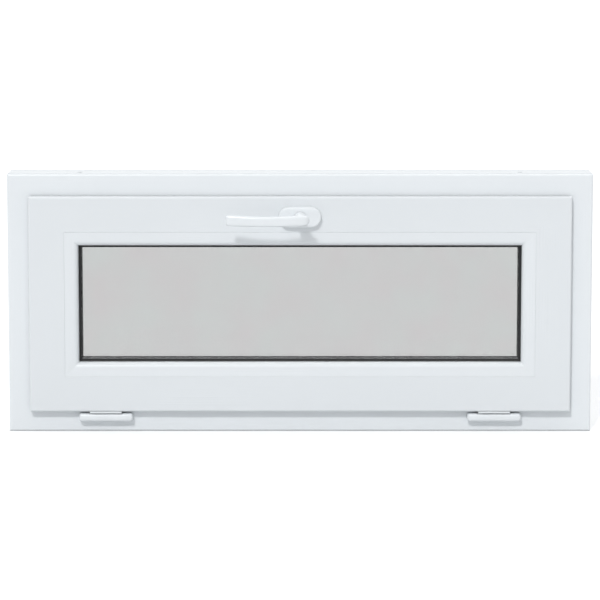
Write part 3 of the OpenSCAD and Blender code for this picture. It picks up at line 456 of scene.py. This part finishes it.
def metal(name, colour, tint, roughness, stretch, pits, depth):
    """Bright metal: rolling lines from stretched noise, a cloudy tint, and pits from fine noise."""
    material, tree, shader, place = start_material(name)
    drawn = add_node(tree, "Mapping", {"Scale": stretch})
    link(tree, place, drawn.inputs["Vector"])
    skin = place_group(tree, drawn_skin, {"Colour": srgb(colour), "Shade": srgb(tint),
                                          "Roughness": roughness, "Lines": 0.8})
    link(tree, drawn.outputs["Vector"], skin.inputs["Drawn"])
    link(tree, place, skin.inputs["Place"])
    pit = add_node(tree, "TexNoise", {"Scale": pits, "Detail": 4.0, "Roughness": 0.7})
    link(tree, place, pit.inputs["Vector"])
    # painted crease shade: the group greys the colour where pieces meet, together with a dusty grey
    dust_shade_film = place_group(tree, dust_and_crease_shade, {"Dust": srgb("8f8c83"), "Amount": 0.35, "Reach": 0.002})
    link(tree, place, dust_shade_film.inputs["Place"])
    link(tree, skin.outputs["Colour"], dust_shade_film.inputs["Colour"])
    link(tree, dust_shade_film.outputs["Colour"], shader.inputs["Base Color"])
    link(tree, math_node(tree, "ADD", skin.outputs["Roughness"],
                         math_node(tree, "ADD", dust_shade_film.outputs["Share"],
                                   ramp(tree, pit.outputs[0], 0.3, 0.7, -0.04, 0.06))),
         shader.inputs["Roughness"])
    shader.inputs["Metallic"].default_value = 1.0
    raise_surface(tree, shader, math_node(tree, "ADD", skin.outputs["Height"], pit.outputs[0]), depth)
    return material


zinc_steel = metal("zinc-plated steel", "c9ccd0", "b9bab4", 0.34, (30.0, 900.0, 900.0), 900.0, 0.00003)
zinc_cast = metal("cast zinc", "aeb0b2", "9d9e9f", 0.50, (300.0, 300.0, 300.0), 1300.0, 0.00008)
spacer_metal = metal("spacer aluminium", "9a9da0", "8f9295", 0.42, (40.0, 900.0, 40.0), 700.0, 0.00003)
print("made", zinc_steel.name, zinc_cast.name, spacer_metal.name)

# %% [markdown]
# ## Glass
# Two panes of float glass. The tint sits in the base colour, so each pane takes away a little light, and
# the long, shallow waves that toughening rollers leave are a very weak bump.

# %% The panes' glass
glass, tree, shader, place = start_material("float glass")
shader.inputs["Transmission Weight"].default_value = 1.0
shader.inputs["IOR"].default_value = 1.52     # soda-lime glass
smear = add_node(tree, "TexNoise", {"Scale": 14.0, "Detail": 5.0, "Roughness": 0.6})
link(tree, place, smear.inputs["Vector"])
link(tree, mix_colour(tree, ramp(tree, smear.outputs[0], 0.35, 0.7), srgb("dbd9d9"), srgb("dadcdb")),
     shader.inputs["Base Color"])
link(tree, ramp(tree, smear.outputs[0], 0.45, 0.8, 0.0, 0.02), shader.inputs["Roughness"])
rollers = add_node(tree, "TexNoise", {"Scale": 5.0, "Detail": 1.0})
link(tree, place, rollers.inputs["Vector"])
raise_surface(tree, shader, rollers.outputs[0], 0.0002, 0.2)
print("made", glass.name)

# %% [markdown]
# ## Give each measured piece its finish
# The record names a slot for each piece. A dictionary turns the slot into a finish, and the long white
# pieces get the rail or the upright version, and the frame's white or the sash's darker copy of it, which
# is painted shade, by their name. The panes cast no shadow, so that the lamps reach what lies behind them
# without noise.

# %% Finishes by slot
FINISH = {"pvc_white": rail_white, "handle_white": lacquer, "cover_white": cap_plastic,
          "seal_black": rubber, "zinc_steel": zinc_steel, "zinc_cast": zinc_cast, "glass_clear": glass,
          "spacer_grey": spacer_metal, "edge_seal_black": sealant, "packer_blue": packer_plastic,
          "nylon_white": nylon}
UPRIGHT = ("jamb", "stile", "bead_left", "bead_right")
SASH_BARS = ("sash_top_rail", "sash_bottom_rail", "sash_stile_left", "sash_stile_right")
for name, node in nodes.items():
    upright = any(word in name for word in UPRIGHT)
    for place in node.material_slots:
        slot = place.material.name.split(".")[0]
        # the sash bars get the darker copy of the white, which is painted shade
        if slot == "pvc_white" and name in SASH_BARS:
            place.material = sash_upright_shaded_white if upright else sash_rail_shaded_white
        else:
            place.material = upright_white if slot == "pvc_white" and upright else FINISH[slot]
for name in ("room_pane", "weather_pane"):
    nodes[name].visible_shadow = False
print("finished", len(nodes), "measured pieces")

# %% [markdown]
# ## Tools for surfaces
# The rounder pieces are made as grids of points. A grid has rows and columns, every point is computed at
# once by a formula on whole arrays, and `grid_faces` joins neighbours into four-sided faces. Where a grid
# closes on itself, its last row or column joins the first again.

# %% Grids into meshes
import bmesh

MERGE = 2e-6                    # points closer than two micrometres are one


def grid_faces(rows, columns, close_rows=False, close_columns=False):
    """Corner numbers of the faces between neighbouring points of a rows by columns grid."""
    r = np.arange(rows if close_rows else rows - 1)[:, None]
    c = np.arange(columns if close_columns else columns - 1)[None, :]
    down, right = (r + 1) % rows, (c + 1) % columns
    corners = [r * columns + c, r * columns + right, down * columns + right, down * columns + c]
    return np.stack(np.broadcast_arrays(*corners), -1).reshape(-1, 4)


def skin(points, close_rows=False, close_columns=False, lid_start=False, lid_end=False):
    """A grid of points (rows, columns, 3) as loose points and faces, with flat lids on its end rows."""
    rows, columns = points.shape[:2]
    faces = grid_faces(rows, columns, close_rows, close_columns).tolist()
    if lid_start:
        faces.append(list(range(columns)))
    if lid_end:
        faces.append(list(range(rows * columns - columns, rows * columns)))
    return points.reshape(-1, 3), faces


def join_skins(*parts):
    """Several skins as one set of points and faces."""
    starts = np.cumsum([0] + [len(p) for p, _ in parts])
    faces = [[i + int(start) for i in face] for (_, fs), start in zip(parts, starts) for face in fs]
    return np.concatenate([p for p, _ in parts]), faces


def new_piece(name, part, body, finish, sharp=30, wall=None):
    """A finished object: doubles merged, faces turned outwards, smooth but for its sharp edges."""
    points, faces = part
    mesh = bpy.data.meshes.new(name)
    mesh.from_pydata(np.asarray(points, float).tolist(), [], faces)
    solid = bmesh.new()
    solid.from_mesh(mesh)
    bmesh.ops.remove_doubles(solid, verts=solid.verts, dist=MERGE)
    bmesh.ops.recalc_face_normals(solid, faces=solid.faces)
    solid.to_mesh(mesh)
    solid.free()
    mesh.polygons.foreach_set("use_smooth", np.ones(len(mesh.polygons), bool))
    mesh.set_sharp_from_angle(angle=math.radians(sharp))
    mesh.materials.append(finish)
    piece = bpy.data.objects.new(name, mesh)
    scene.collection.objects.link(piece)
    if wall:
        shell = piece.modifiers.new("wall", "SOLIDIFY")
        shell.thickness, shell.offset, shell.use_even_offset = wall, -1.0, True
    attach(piece, body)
    print(name, len(mesh.vertices), "points", len(mesh.polygons), "faces")
    return piece


# %% Rounded profiles


def round_corners(corners, radii, steps=6):
    """Corner points (n, 2) with each corner turned into an arc of its radius.

    The arc's centre lies on the line that halves the corner, and its points turn evenly from one side's
    touching point to the other's."""
    p, r = np.asarray(corners, float), np.maximum(np.asarray(radii, float), 1e-9)[:, None]
    before, after = np.roll(p, 1, 0) - p, np.roll(p, -1, 0) - p
    u = before / np.linalg.norm(before, axis=1, keepdims=True)
    v = after / np.linalg.norm(after, axis=1, keepdims=True)
    half = np.arccos(np.clip((u * v).sum(1, keepdims=True), -1, 1)) / 2
    middle = (u + v) / np.linalg.norm(u + v, axis=1, keepdims=True)
    centre = p + middle * r / np.sin(half)
    first = p + u * r / np.tan(half) - centre
    last = p + v * r / np.tan(half) - centre
    from_angle = np.arctan2(first[:, 1], first[:, 0])[:, None]
    turn = np.arctan2(last[:, 1], last[:, 0])[:, None] - from_angle
    turn = (turn + np.pi) % (2 * np.pi) - np.pi
    angle = from_angle + turn * np.linspace(0, 1, steps + 1)[None, :]
    arc = centre[:, None, :] + r[:, :, None] * np.stack([np.cos(angle), np.sin(angle)], -1)
    return arc.reshape(-1, 2)


# %% Profiles carried round the window
SIDES = ("bottom", "right", "top", "left")


def at_corners(profile):
    """A profile of (d, h) in millimetres set at the window's four corners: (4, n, 3).

    Each corner moves the profile in by h along both X and Z, which is what a mitre does."""
    d, h = profile[:, 0] * MM, profile[:, 1] * MM
    x = np.stack([LEFT + h, RIGHT - h, RIGHT - h, LEFT + h])
    z = np.stack([FOOT + h, FOOT + h, HEAD - h, HEAD - h])
    return np.stack([x, np.broadcast_to(FACE + d, x.shape), z], -1)


def mitred_bar(profile, side):
    """One straight bar of the profile between two mitred ends."""
    corner = SIDES.index(side)
    ends = at_corners(profile)[[corner, (corner + 1) % 4]]
    return skin(ends, close_columns=True, lid_start=True, lid_end=True)


def ring(profile):
    """The profile carried round all four corners as one closed loop."""
    return skin(at_corners(profile), close_rows=True, close_columns=True)


# %% [markdown]
# ## Glazing beads
# The bead is the strip that clips into the sash and holds the glass. It leans back slightly, turns with a
# quarter round towards the glass and ends in a thin edge. Four bars are cut at 45 degrees, so each bar is
# the same profile between two mitred ends.

# %% The four beads
bead_profile = round_corners(
    [(-14.6, 88.03), (-13.2, 100.0), (-13.15, 109.0), (1.0, 109.0), (1.0, 104.0), (-0.5, 99.0),
     (-0.5, 91.0), (-5.6, 90.2), (-6.2, 82.7), (-9.8, 82.7), (-10.4, 88.03)],
    [0.25, 3.0, 8.4, 0.4, 0.3, 1.0, 0.8, 0.6, 0.4, 0.4, 0.3], steps=8)
for side in SIDES:
    upright = side in ("left", "right")
    # the beads get their darker copy of the white, which is painted shade
    bead = new_piece("glazing_bead_" + side, mitred_bar(bead_profile, side), "sash",
                     bead_upright_shaded_white if upright else bead_rail_shaded_white)
    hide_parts("bead_" + side)

# %% [markdown]
# ## Seals and gaskets
# Rubber is squeezed out of a die as well, with lips that bend against the glass or the other profile. Each
# seal is one closed loop round the window: a profile with a foot, a neck and a rounded lip.

# %% Four loops of rubber
SEALS = {
    "bead_gasket": ("bead_gasket_lip", "sash",
                    [(1.05, 101.2), (3.95, 101.2), (3.95, 112.4), (3.55, 113.2), (2.6, 112.9), (1.9, 110.6),
                     (1.05, 109.0)], [0.3, 0.3, 0.3, 0.45, 0.4, 1.5, 0.4]),
    "weather_gasket": ("weather_gasket_lip", "sash",
                       [(28.05, 101.2), (30.9, 101.2), (30.9, 109.6), (29.6, 112.0), (28.7, 113.4),
                        (28.05, 112.6)], [0.3, 0.3, 0.8, 1.2, 0.3, 0.3]),
    "frame_seal": ("frame_seal_lip", "frame",
                   [(50.0, 52.4), (50.0, 59.6), (49.0, 59.4), (48.5, 58.2), (47.4, 58.0), (47.35, 56.8),
                    (48.3, 56.2), (48.4, 53.2), (48.9, 52.4)], [0.2, 0.4, 0.3, 0.3, 0.4, 0.4, 0.4, 0.6, 0.4]),
    "sash_seal": ("sash_seal_lip", "sash",
                  [(-3.0, 34.8), (-3.0, 38.7), (-2.1, 38.6), (-1.6, 37.9), (-0.4, 37.6), (-0.4, 36.6),
                   (-1.5, 36.0), (-1.9, 35.0)], [0.2, 0.3, 0.3, 0.4, 0.35, 0.35, 0.6, 0.4]),
}
for node, (name, body, corners, radii) in SEALS.items():
    seal = new_piece(name, ring(round_corners(corners, radii, steps=4)), body, rubber)
    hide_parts(node)

# %% [markdown]
# ## The rosette
# The oval cover under the lever snaps over a base plate and hides two screws. Its outline is two half
# circles joined by straights. Rings of that outline climb the side, roll over the edge, cross the slightly
# domed top, dip into the hole for the lever's neck and come back underneath, so it is one closed skin.

# %% The rosette
ros_lo, ros_hi = (np.array(corner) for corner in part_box("handle_rosette"))
ros_x, ros_z = (ros_lo[0] + ros_hi[0]) / 2, (ros_lo[2] + ros_hi[2]) / 2
ros_r = (ros_hi[2] - ros_lo[2]) / 2
ros_straight = (ros_hi[0] - ros_lo[0]) / 2 - ros_r
HOLE_R = 8.97 * MM


def rosette_rings(around=144):
    """Rows of rings. Each ring mixes the oval outline with the hole's circle by a share and stands off by
    its own depth; the side leans in a little, and the edge is a quarter of a circle."""
    turn = np.linspace(0, 2 * np.pi, around, endpoint=False)
    push = np.tanh(6 * np.cos(turn)) / np.tanh(6.0)
    roll = np.linspace(0, np.pi / 2, 9)
    dome = np.linspace(0, 1, 9)[1:]
    fall = np.linspace(0, np.pi / 2, 5)[1:]
    edge, lip, deep = 3.2 * MM, 0.25 * MM, ros_hi[1] - ros_lo[1]
    inset = np.concatenate([[0, 0.15 * MM, 0.35 * MM], 0.35 * MM + edge * (1 - np.cos(roll))])
    rise = np.concatenate([[0, 0.3 * deep, 0.5 * deep], deep - edge - 0.5 * MM + edge * np.sin(roll)])
    outer_r, straight = ros_r - inset, np.full(inset.shape, ros_straight)
    top = rise[-1] + 0.5 * MM * np.sin(np.pi / 2 * np.minimum(1, dome * 1.4))
    inner_r = HOLE_R + lip
    outer_r = np.concatenate([outer_r, outer_r[-1] + (inner_r - outer_r[-1]) * dome])
    straight = np.concatenate([straight, ros_straight * (1 - dome)])
    rise = np.concatenate([rise, top])
    outer_r = np.concatenate([outer_r, inner_r - lip * np.sin(fall), [HOLE_R, HOLE_R + 2 * MM]])
    straight = np.concatenate([straight, 0 * fall, [0, 0]])
    rise = np.concatenate([rise, top[-1] - lip * (1 - np.cos(fall)), [0.1 * MM, 0]])
    x = ros_x + straight[:, None] * push + outer_r[:, None] * np.cos(turn)
    z = ros_z + outer_r[:, None] * np.sin(turn)
    y = np.broadcast_to(ros_hi[1] - rise[:, None], x.shape)
    return np.stack([x, y, z], -1)


rosette = new_piece("handle_rosette_cover",
                    skin(rosette_rings(), close_rows=True, close_columns=True), "sash",
                    lacquer, sharp=50)
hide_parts("handle_rosette")

# %% [markdown]
# ## The lever
# The lever grows out of a round neck, swells into a knuckle over it and runs off to the left as a flat
# grip that bows gently into the room. The real one is die-cast and has no hard edge anywhere. One grid
# makes the grip, a rounded section carried from the tip to the knuckle, and a second, short one makes the
# neck, which fills its hole in the rosette and narrows a little on its way to the knuckle.

# %% The lever's grip and neck
lev_lo, lev_hi = (np.array(corner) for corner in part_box("handle_lever"))
SPINDLE_Z = (lev_lo[2] + lev_hi[2]) / 2
GRIP_T, GRIP_H = 12 * MM, 16.4 * MM
BOW, SAG = 4.9 * MM, 1.6 * MM
TIP_ROUND, ROOT_ROUND = 3.5 * MM, 10 * MM       # how far each end's rounding reaches along the lever
NECK_R, WAIST = 8.92 * MM, 1.2 * MM             # the neck's radius, and how much narrower it gets
SQUARE = 2 / 3.6               # how square the section is: 1 would be an ellipse
ROOT_BACK = ros_hi[1] - 39 * MM


def grip_rings(rows=84, around=56):
    """Rounded-box sections (a super-ellipse) from the tip at the left to the knuckle at the right.

    Height and thickness close to nothing at both ends by the law (1 - (1 - s)^n)^(1/n): a tight rounding
    at the tip and a wide one at the knuckle. The middle line bows into the room and sags a little, both
    as half a sine wave."""
    share = 0.5 - 0.5 * np.cos(np.linspace(0, np.pi, rows))
    x = lev_lo[0] + (lev_hi[0] - lev_lo[0]) * share
    tip = np.clip((x - lev_lo[0]) / TIP_ROUND, 0, 1)
    root = np.clip((lev_hi[0] - x) / ROOT_ROUND, 0, 1)
    close = (1 - (1 - tip) ** 3.0) ** (1 / 3.0) * (1 - (1 - root) ** 2.2) ** (1 / 2.2)
    half_h = GRIP_H / 2 * close * (1 - 0.07 * np.sin(np.pi * share))
    half_t = GRIP_T / 2 * close * (0.82 + 0.18 * share)
    bend = np.sin(np.pi * share)
    turn = np.linspace(0, 2 * np.pi, around, endpoint=False)
    c, s = np.cos(turn), np.sin(turn)
    y = (ROOT_BACK - GRIP_T / 2 - BOW * bend)[:, None] + half_t[:, None] * np.sign(c) * np.abs(c) ** SQUARE
    z = (SPINDLE_Z - SAG * bend)[:, None] + half_h[:, None] * np.sign(s) * np.abs(s) ** SQUARE
    return np.stack([np.broadcast_to(x[:, None], y.shape), y, z], -1)


def neck_rings(rows=30, around=56):
    """Circles from inside the rosette up into the knuckle. The neck all but fills its hole at the foot,
    narrows slightly, by the square of a sine, and ends inside the knuckle."""
    along = np.linspace(0, 1, rows)
    y = (ros_hi[1] - 0.4 * MM) + (ROOT_BACK - 5.5 * MM - ros_hi[1] + 0.4 * MM) * along
    r = NECK_R - WAIST * np.sin(np.pi * np.clip((along - 0.22) / 0.6, 0, 1)) ** 2
    r = r - 1.6 * MM * np.clip((along - 0.82) / 0.18, 0, 1) ** 2
    turn = np.linspace(0, 2 * np.pi, around, endpoint=False)
    x, z = r[:, None] * np.cos(turn), SPINDLE_Z + r[:, None] * np.sin(turn)
    return np.stack([x, np.broadcast_to(y[:, None], x.shape), z], -1)


lever = new_piece("handle_lever_grip",
                  join_skins(skin(grip_rings(), close_columns=True),
                             skin(neck_rings(), close_columns=True, lid_start=True, lid_end=True)),
                  "handle", lacquer, sharp=60)
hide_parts("handle_lever")

# %% [markdown]
# ## Hinge covers
# A white cap clips over each hinge at the sash's foot. Its skin is one grid: a U-shaped section, open at
# the back where it lies on the frame, is carried along the hinge and drawn in at both ends like the
# end of a loaf. The faces over the knuckles are left out, which makes the slot for the sash's leaf, and a
# Solidify modifier then gives the skin its 1 mm wall.

# %% The two hinge covers
COVER_R, COVER_END = 4.5 * MM, 4.0 * MM
SLOT_HALF, SLOT_REACH = 24.9 * MM, 4.7 * MM     # half the slot's length, and how far it comes past the pin


def cover_skin(lo, hi, axis_y, slot_half, steps=7):
    """Stations along X times points round the section. The section is drawn in by
    r - sqrt(r^2 - s^2) where s is how far a station lies inside the rounded end."""
    lo, hi = np.array(lo), np.array(hi)
    middle, top = (lo + hi) / 2, (hi[2] - lo[2]) / 2
    half = hi[0] - middle[0]
    bulge = np.sin(np.linspace(0, np.pi / 2, steps)) * COVER_END
    inner = np.array([half - COVER_END, slot_half + 3 * MM, slot_half, slot_half * 0.5])
    reach = np.concatenate([(half - COVER_END + bulge)[::-1], inner[1:], [0], -inner[1:][::-1],
                            -(half - COVER_END + bulge)])
    deep = np.clip(np.abs(reach) - (half - COVER_END), 0, COVER_END)
    inset = COVER_END - np.sqrt(np.maximum(COVER_END ** 2 - deep ** 2, 0))
    slot_front = axis_y - SLOT_REACH
    corner = np.sort(np.append(np.linspace(0, np.pi / 2, steps),
                               np.arcsin((lo[1] + COVER_R - slot_front) / COVER_R)))
    back = np.linspace(0, 1, 5)[:-1]
    y_side = hi[1] + (lo[1] + COVER_R - hi[1]) * back
    y_arc = lo[1] + COVER_R - COVER_R * np.sin(corner)
    z_arc = 1 - (1 - np.cos(corner)) * COVER_R / top
    y = np.concatenate([y_side, y_arc, y_arc[::-1], y_side[::-1]])
    up = np.concatenate([np.ones(back.shape), z_arc, -z_arc[::-1], -np.ones(back.shape)])
    z = middle[2] + up[None, :] * (top - inset[:, None])
    front = np.clip((hi[1] - y) / (hi[1] - lo[1]), 0, 1)
    yy = y[None, :] + inset[:, None] * front[None, :]
    x = np.broadcast_to((middle[0] + reach)[:, None], yy.shape)
    points = np.stack([x, yy, z], -1)
    rows, columns = points.shape[:2]
    faces = grid_faces(rows, columns)
    centre = points.reshape(-1, 3)[faces].mean(1)
    slot = (np.abs(centre[:, 0] - middle[0]) < slot_half) & (centre[:, 2] > middle[2] + 0.6 * top)
    slot &= centre[:, 1] > slot_front
    faces = faces[~slot]
    pair = np.arange(columns // 2 - 1)
    lid = np.stack([pair, pair + 1, columns - 2 - pair, columns - 1 - pair], -1)
    ends = np.concatenate([lid, lid + (rows - 1) * columns])
    return points.reshape(-1, 3), faces.tolist() + ends.tolist()


for side in ("left", "right"):
    pin_lo, pin_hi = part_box("hinge_pin_" + side)
    cover = new_piece("hinge_cap_" + side,
                      cover_skin(*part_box("hinge_cover_" + side), (pin_lo[1] + pin_hi[1]) / 2, SLOT_HALF),
                      "frame", cap_plastic, sharp=40, wall=1.0 * MM)
    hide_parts("hinge_cover_" + side)

# %% [markdown]
# ## Stays
# A stay is a flat steel arm on each side that keeps the open sash from falling. It is stamped: the edge is
# rolled over, a long rib is pressed into it for stiffness, and a riveted pivot shows at the lower end.
# Stacked rings of one oval outline make the arm, and turned profiles make the rivet, the pin and the roller.

# %% Ovals in stacks and turned parts


def oval_stack(straight, radius, rise, around=72):
    """Rings of an oval, one for each entry of the three lists: half its straight length, its end radius
    and its height. Gives (rows, around, 3) as (along, across, up)."""
    straight, radius, rise = (np.asarray(v, float)[:, None] for v in (straight, radius, rise))
    turn = np.linspace(0, 2 * np.pi, around, endpoint=False)[None, :]
    side = np.where(np.cos(turn) >= 0, 1.0, -1.0)
    along = straight * side + radius * np.cos(turn)
    across = radius * np.sin(turn)
    return np.stack([along, across, np.broadcast_to(rise, along.shape)], -1)


def turned(profile, around=40):
    """A lathe: each (radius, height) of the profile becomes a circle. Gives (rows, around, 3)."""
    r, up = np.asarray(profile, float).T[:, :, None]
    turn = np.linspace(0, 2 * np.pi, around, endpoint=False)[None, :]
    return np.stack([r * np.cos(turn), r * np.sin(turn), np.broadcast_to(up, (len(r), around))], -1)


def laid(points, origin, along, across, up):
    """Local (along, across, up) numbers placed at an origin on three directions."""
    return np.asarray(origin) + points @ np.array([along, across, up], float)


# %% The two stay arms and their rollers
ARM_R = 5.95 * MM
hinges = {joint["name"]: joint for joint in frame["joints"]}
for side, inward in (("left", 1.0), ("right", -1.0)):
    pivot = np.array(hinges["stay_" + side + "_swing"]["pos_m"])
    roll_lo, roll_hi = (np.array(corner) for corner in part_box("stay_roller_" + side))
    arm_lo, arm_hi = (np.array(corner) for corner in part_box("stay_arm_" + side))
    roller = (roll_lo + roll_hi) / 2
    span = roller[1:] - pivot[1:]
    reach = np.linalg.norm(span)
    u = np.array([0.0, *(span / reach)])
    v = np.array([0.0, -u[2], u[1]])
    n = np.array([inward, 0.0, 0.0])
    outer_x = arm_lo[0] if inward > 0 else arm_hi[0]
    middle = np.array([outer_x, *(pivot[1:] + roller[1:]) / 2])
    half, r = reach / 2, ARM_R
    inset = np.array([0.5, 0.15, 0.0, 0.0, 0.15, 0.5, 2.2, 2.7, 3.3, 3.8, 5.94]) * MM
    rise = np.array([0.0, 0.12, 0.5, 2.0, 2.35, 2.5, 2.5, 2.2, 2.2, 2.05, 2.05]) * MM
    cut_back = np.array([0, 0, 0, 0, 0, 0, 14, 15, 16, 17, 18]) * MM
    plate = oval_stack(half - cut_back, r - inset, rise)
    rivet = turned(np.array([[0, 0.3], [4.2, 0.3], [4.2, 2.9], [3.9, 3.3], [3.0, 3.55], [1.6, 3.65],
                             [0, 3.65]]) * MM)
    pin = turned(np.array([[0, 2.0], [1.72, 2.0], [1.72, 6.5], [1.4, 6.72], [0, 6.75]]) * MM)
    arm = new_piece("stay_arm_pressed_" + side, join_skins(
        skin(laid(plate, middle, u, v, n), close_columns=True, lid_start=True, lid_end=True),
        skin(laid(rivet, [outer_x, *pivot[1:]], u, v, n), close_columns=True),
        skin(laid(pin, [outer_x, *roller[1:]], u, v, n), close_columns=True)),
        "stay_arm_" + side, zinc_steel, sharp=35)
    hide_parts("stay_arm_" + side)
    start = roll_lo[0] if inward > 0 else roll_hi[0]
    wheel_t, wheel_r = (roll_hi - roll_lo)[0], (roll_hi - roll_lo)[2] / 2
    ring_profile = np.array([[1.78 * MM, 0.0], [wheel_r - 0.5 * MM, 0.0], [wheel_r - 0.1 * MM, 0.15 * MM],
                             [wheel_r, 0.6 * MM], [wheel_r, wheel_t - 0.6 * MM],
                             [wheel_r - 0.1 * MM, wheel_t - 0.15 * MM], [wheel_r - 0.5 * MM, wheel_t],
                             [1.78 * MM, wheel_t]])
    wheel = new_piece("stay_wheel_" + side, skin(
        laid(turned(ring_profile), [start, *roller[1:]], u, v, n), close_rows=True, close_columns=True),
        "stay_arm_" + side, nylon, sharp=35)
    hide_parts("stay_roller_" + side)

# %% [markdown]
# ## Locking cams
# The rod in the sash's head carries two mushroom-headed cams, which slip behind the keeps on the frame.
# Each is turned: a straight stem and a head with rounded rims, with a shallow socket in its top for the
# key that sets the pressure. One lathe profile gives all of it.

# %% The cams
cam_lo, cam_hi = (np.array(corner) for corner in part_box("lock_cams"))
head_r, cam_y = (cam_hi[1] - cam_lo[1]) / 2, (cam_lo[1] + cam_hi[1]) / 2
HEAD_DROP = 4.4 * MM            # the head starts this far under the keeps
head_z, stem_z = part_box("keep_left")[0][2] - HEAD_DROP, cam_lo[2]
tip_z = cam_hi[2]
cam_profile = np.array([[0, stem_z], [2.4 * MM, stem_z], [2.45 * MM, head_z - 0.4 * MM],
                        [2.8 * MM, head_z], [head_r - 0.5 * MM, head_z],
                        [head_r - 0.1 * MM, head_z + 0.2 * MM], [head_r, head_z + 0.7 * MM],
                        [head_r, tip_z - 1.2 * MM],
                        [head_r - 0.25 * MM, tip_z - 0.45 * MM], [head_r - 0.9 * MM, tip_z - 0.05 * MM],
                        [1.6 * MM, tip_z], [1.3 * MM, tip_z - 0.6 * MM], [0, tip_z - 0.6 * MM]])
cam_parts = [skin(laid(turned(cam_profile), [x, cam_y, 0], [1, 0, 0], [0, 1, 0], [0, 0, 1]),
                  close_columns=True) for x in (cam_lo[0] + head_r, cam_hi[0] - head_r)]
cams = new_piece("locking_cams", join_skins(*cam_parts), "lock_rod", zinc_cast, sharp=35)
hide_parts("lock_cams")

# %% [markdown]
# ## The spacer between the panes
# A hollow bar of thin aluminium runs round the edge between the two panes. Its inner face has two rows of
# tiny holes, through which the drying powder inside takes up moisture. The bar is one loop of a profile
# with stepped shoulders, and the holes are not cut but painted in its finish as near-black dots, painted
# shade for the dark inside of each hole: along a bar `x + z` always grows, so one sum gives the place along
# all four sides.

# %% The spacer and its holes
spacer = new_piece("glass_spacer_bar", ring(round_corners(
    [(8.05, 102.1), (8.05, 109.6), (9.0, 111.0), (10.2, 111.7), (21.8, 111.7), (23.0, 111.0), (23.95, 109.6),
     (23.95, 102.1)], [0.3, 0.5, 0.5, 0.4, 0.4, 0.5, 0.5, 0.3], steps=3)), "sash",
    spacer_metal, sharp=25)
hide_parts("glass_spacer")

tree = spacer_metal.node_tree
shader = tree.nodes["Principled BSDF"]
where = add_node(tree, "SeparateXYZ")
link(tree, add_node(tree, "TexCoord").outputs["Object"], where.inputs[0])
HOLE_STEP, HOLE_ROW = 4.0 * MM, 3.0 * MM        # from hole to hole, and from the middle to a row
HOLE_INSIDE, HOLE_EDGE = 0.35 * MM, 0.55 * MM   # full dark up to here, plain metal from there
SPACER_Y = FACE + 16 * MM
along = math_node(tree, "ADD", where.outputs["X"], where.outputs["Z"])
step = math_node(tree, "MULTIPLY", math_node(
    tree, "SUBTRACT", math_node(tree, "FRACT", math_node(tree, "DIVIDE", along, HOLE_STEP), 0), 0.5),
    HOLE_STEP)
row = math_node(tree, "SUBTRACT", math_node(
    tree, "ABSOLUTE", math_node(tree, "SUBTRACT", where.outputs["Y"], SPACER_Y), 0), HOLE_ROW)
away = math_node(tree, "SQRT", math_node(tree, "ADD", math_node(tree, "MULTIPLY", step, step),
                                         math_node(tree, "MULTIPLY", row, row)), 0)
# painted shade: a near-black dot where each hole is, standing in for the dark inside of the hole
hole = ramp(tree, away, HOLE_INSIDE, HOLE_EDGE, 1.0, 0.0)
plain = shader.inputs["Base Color"].links[0].from_socket
link(tree, mix_colour(tree, hole, plain, srgb("1c1d1f")), shader.inputs["Base Color"])

# %% [markdown]
# ## Eased edges
# Stamped, cast and moulded pieces never have a razor edge: the tool leaves a small radius. Where the
# measured piece has the right form already, a copy of it is joined up from its loose triangles, its flat
# faces are made whole again, and a Bevel modifier eases the edges by a few tenths of a millimetre.

# %% Pieces with eased edges
SAME_PLANE, EASE_FROM = math.radians(1), math.radians(40)


def eased(name, node, body, finish, width):
    """A copy of a measured piece: points within 2 micrometres are joined, faces that lie in one plane
    are made one, and every edge sharper than 40 degrees is cut back by the width given."""
    joined = bmesh.new()
    joined.from_mesh(nodes[node].data)
    bmesh.ops.remove_doubles(joined, verts=joined.verts, dist=MERGE)
    bmesh.ops.dissolve_limit(joined, angle_limit=SAME_PLANE, verts=joined.verts, edges=joined.edges)
    joined.verts.index_update()
    part = ([tuple(v.co) for v in joined.verts], [[v.index for v in f.verts] for f in joined.faces])
    joined.free()
    piece = new_piece(name, part, body, finish, sharp=35)
    edge = piece.modifiers.new("eased", "BEVEL")
    edge.width, edge.segments, edge.limit_method = width, 2, "ANGLE"
    edge.angle_limit = EASE_FROM
    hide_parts(node)
    return piece


for side in ("left", "right"):
    eased("lock_keep_" + side, "keep_" + side, "frame", zinc_cast, 0.4 * MM)
    eased("stay_bracket_cast_" + side, "stay_bracket_" + side, "frame", zinc_cast, 0.3 * MM)
    eased("stay_guide_rail_" + side, "stay_guide_" + side, "sash", zinc_cast, 0.25 * MM)
    eased("hinge_leaf_" + side, "hinge_sash_leaf_" + side, "sash", lacquer, 0.3 * MM)
eased("weather_drain_caps", "drain_caps", "frame", cap_plastic, 0.7 * MM)
eased("lock_faceplate_strip", "lock_faceplate", "sash", zinc_steel, 0.3 * MM)
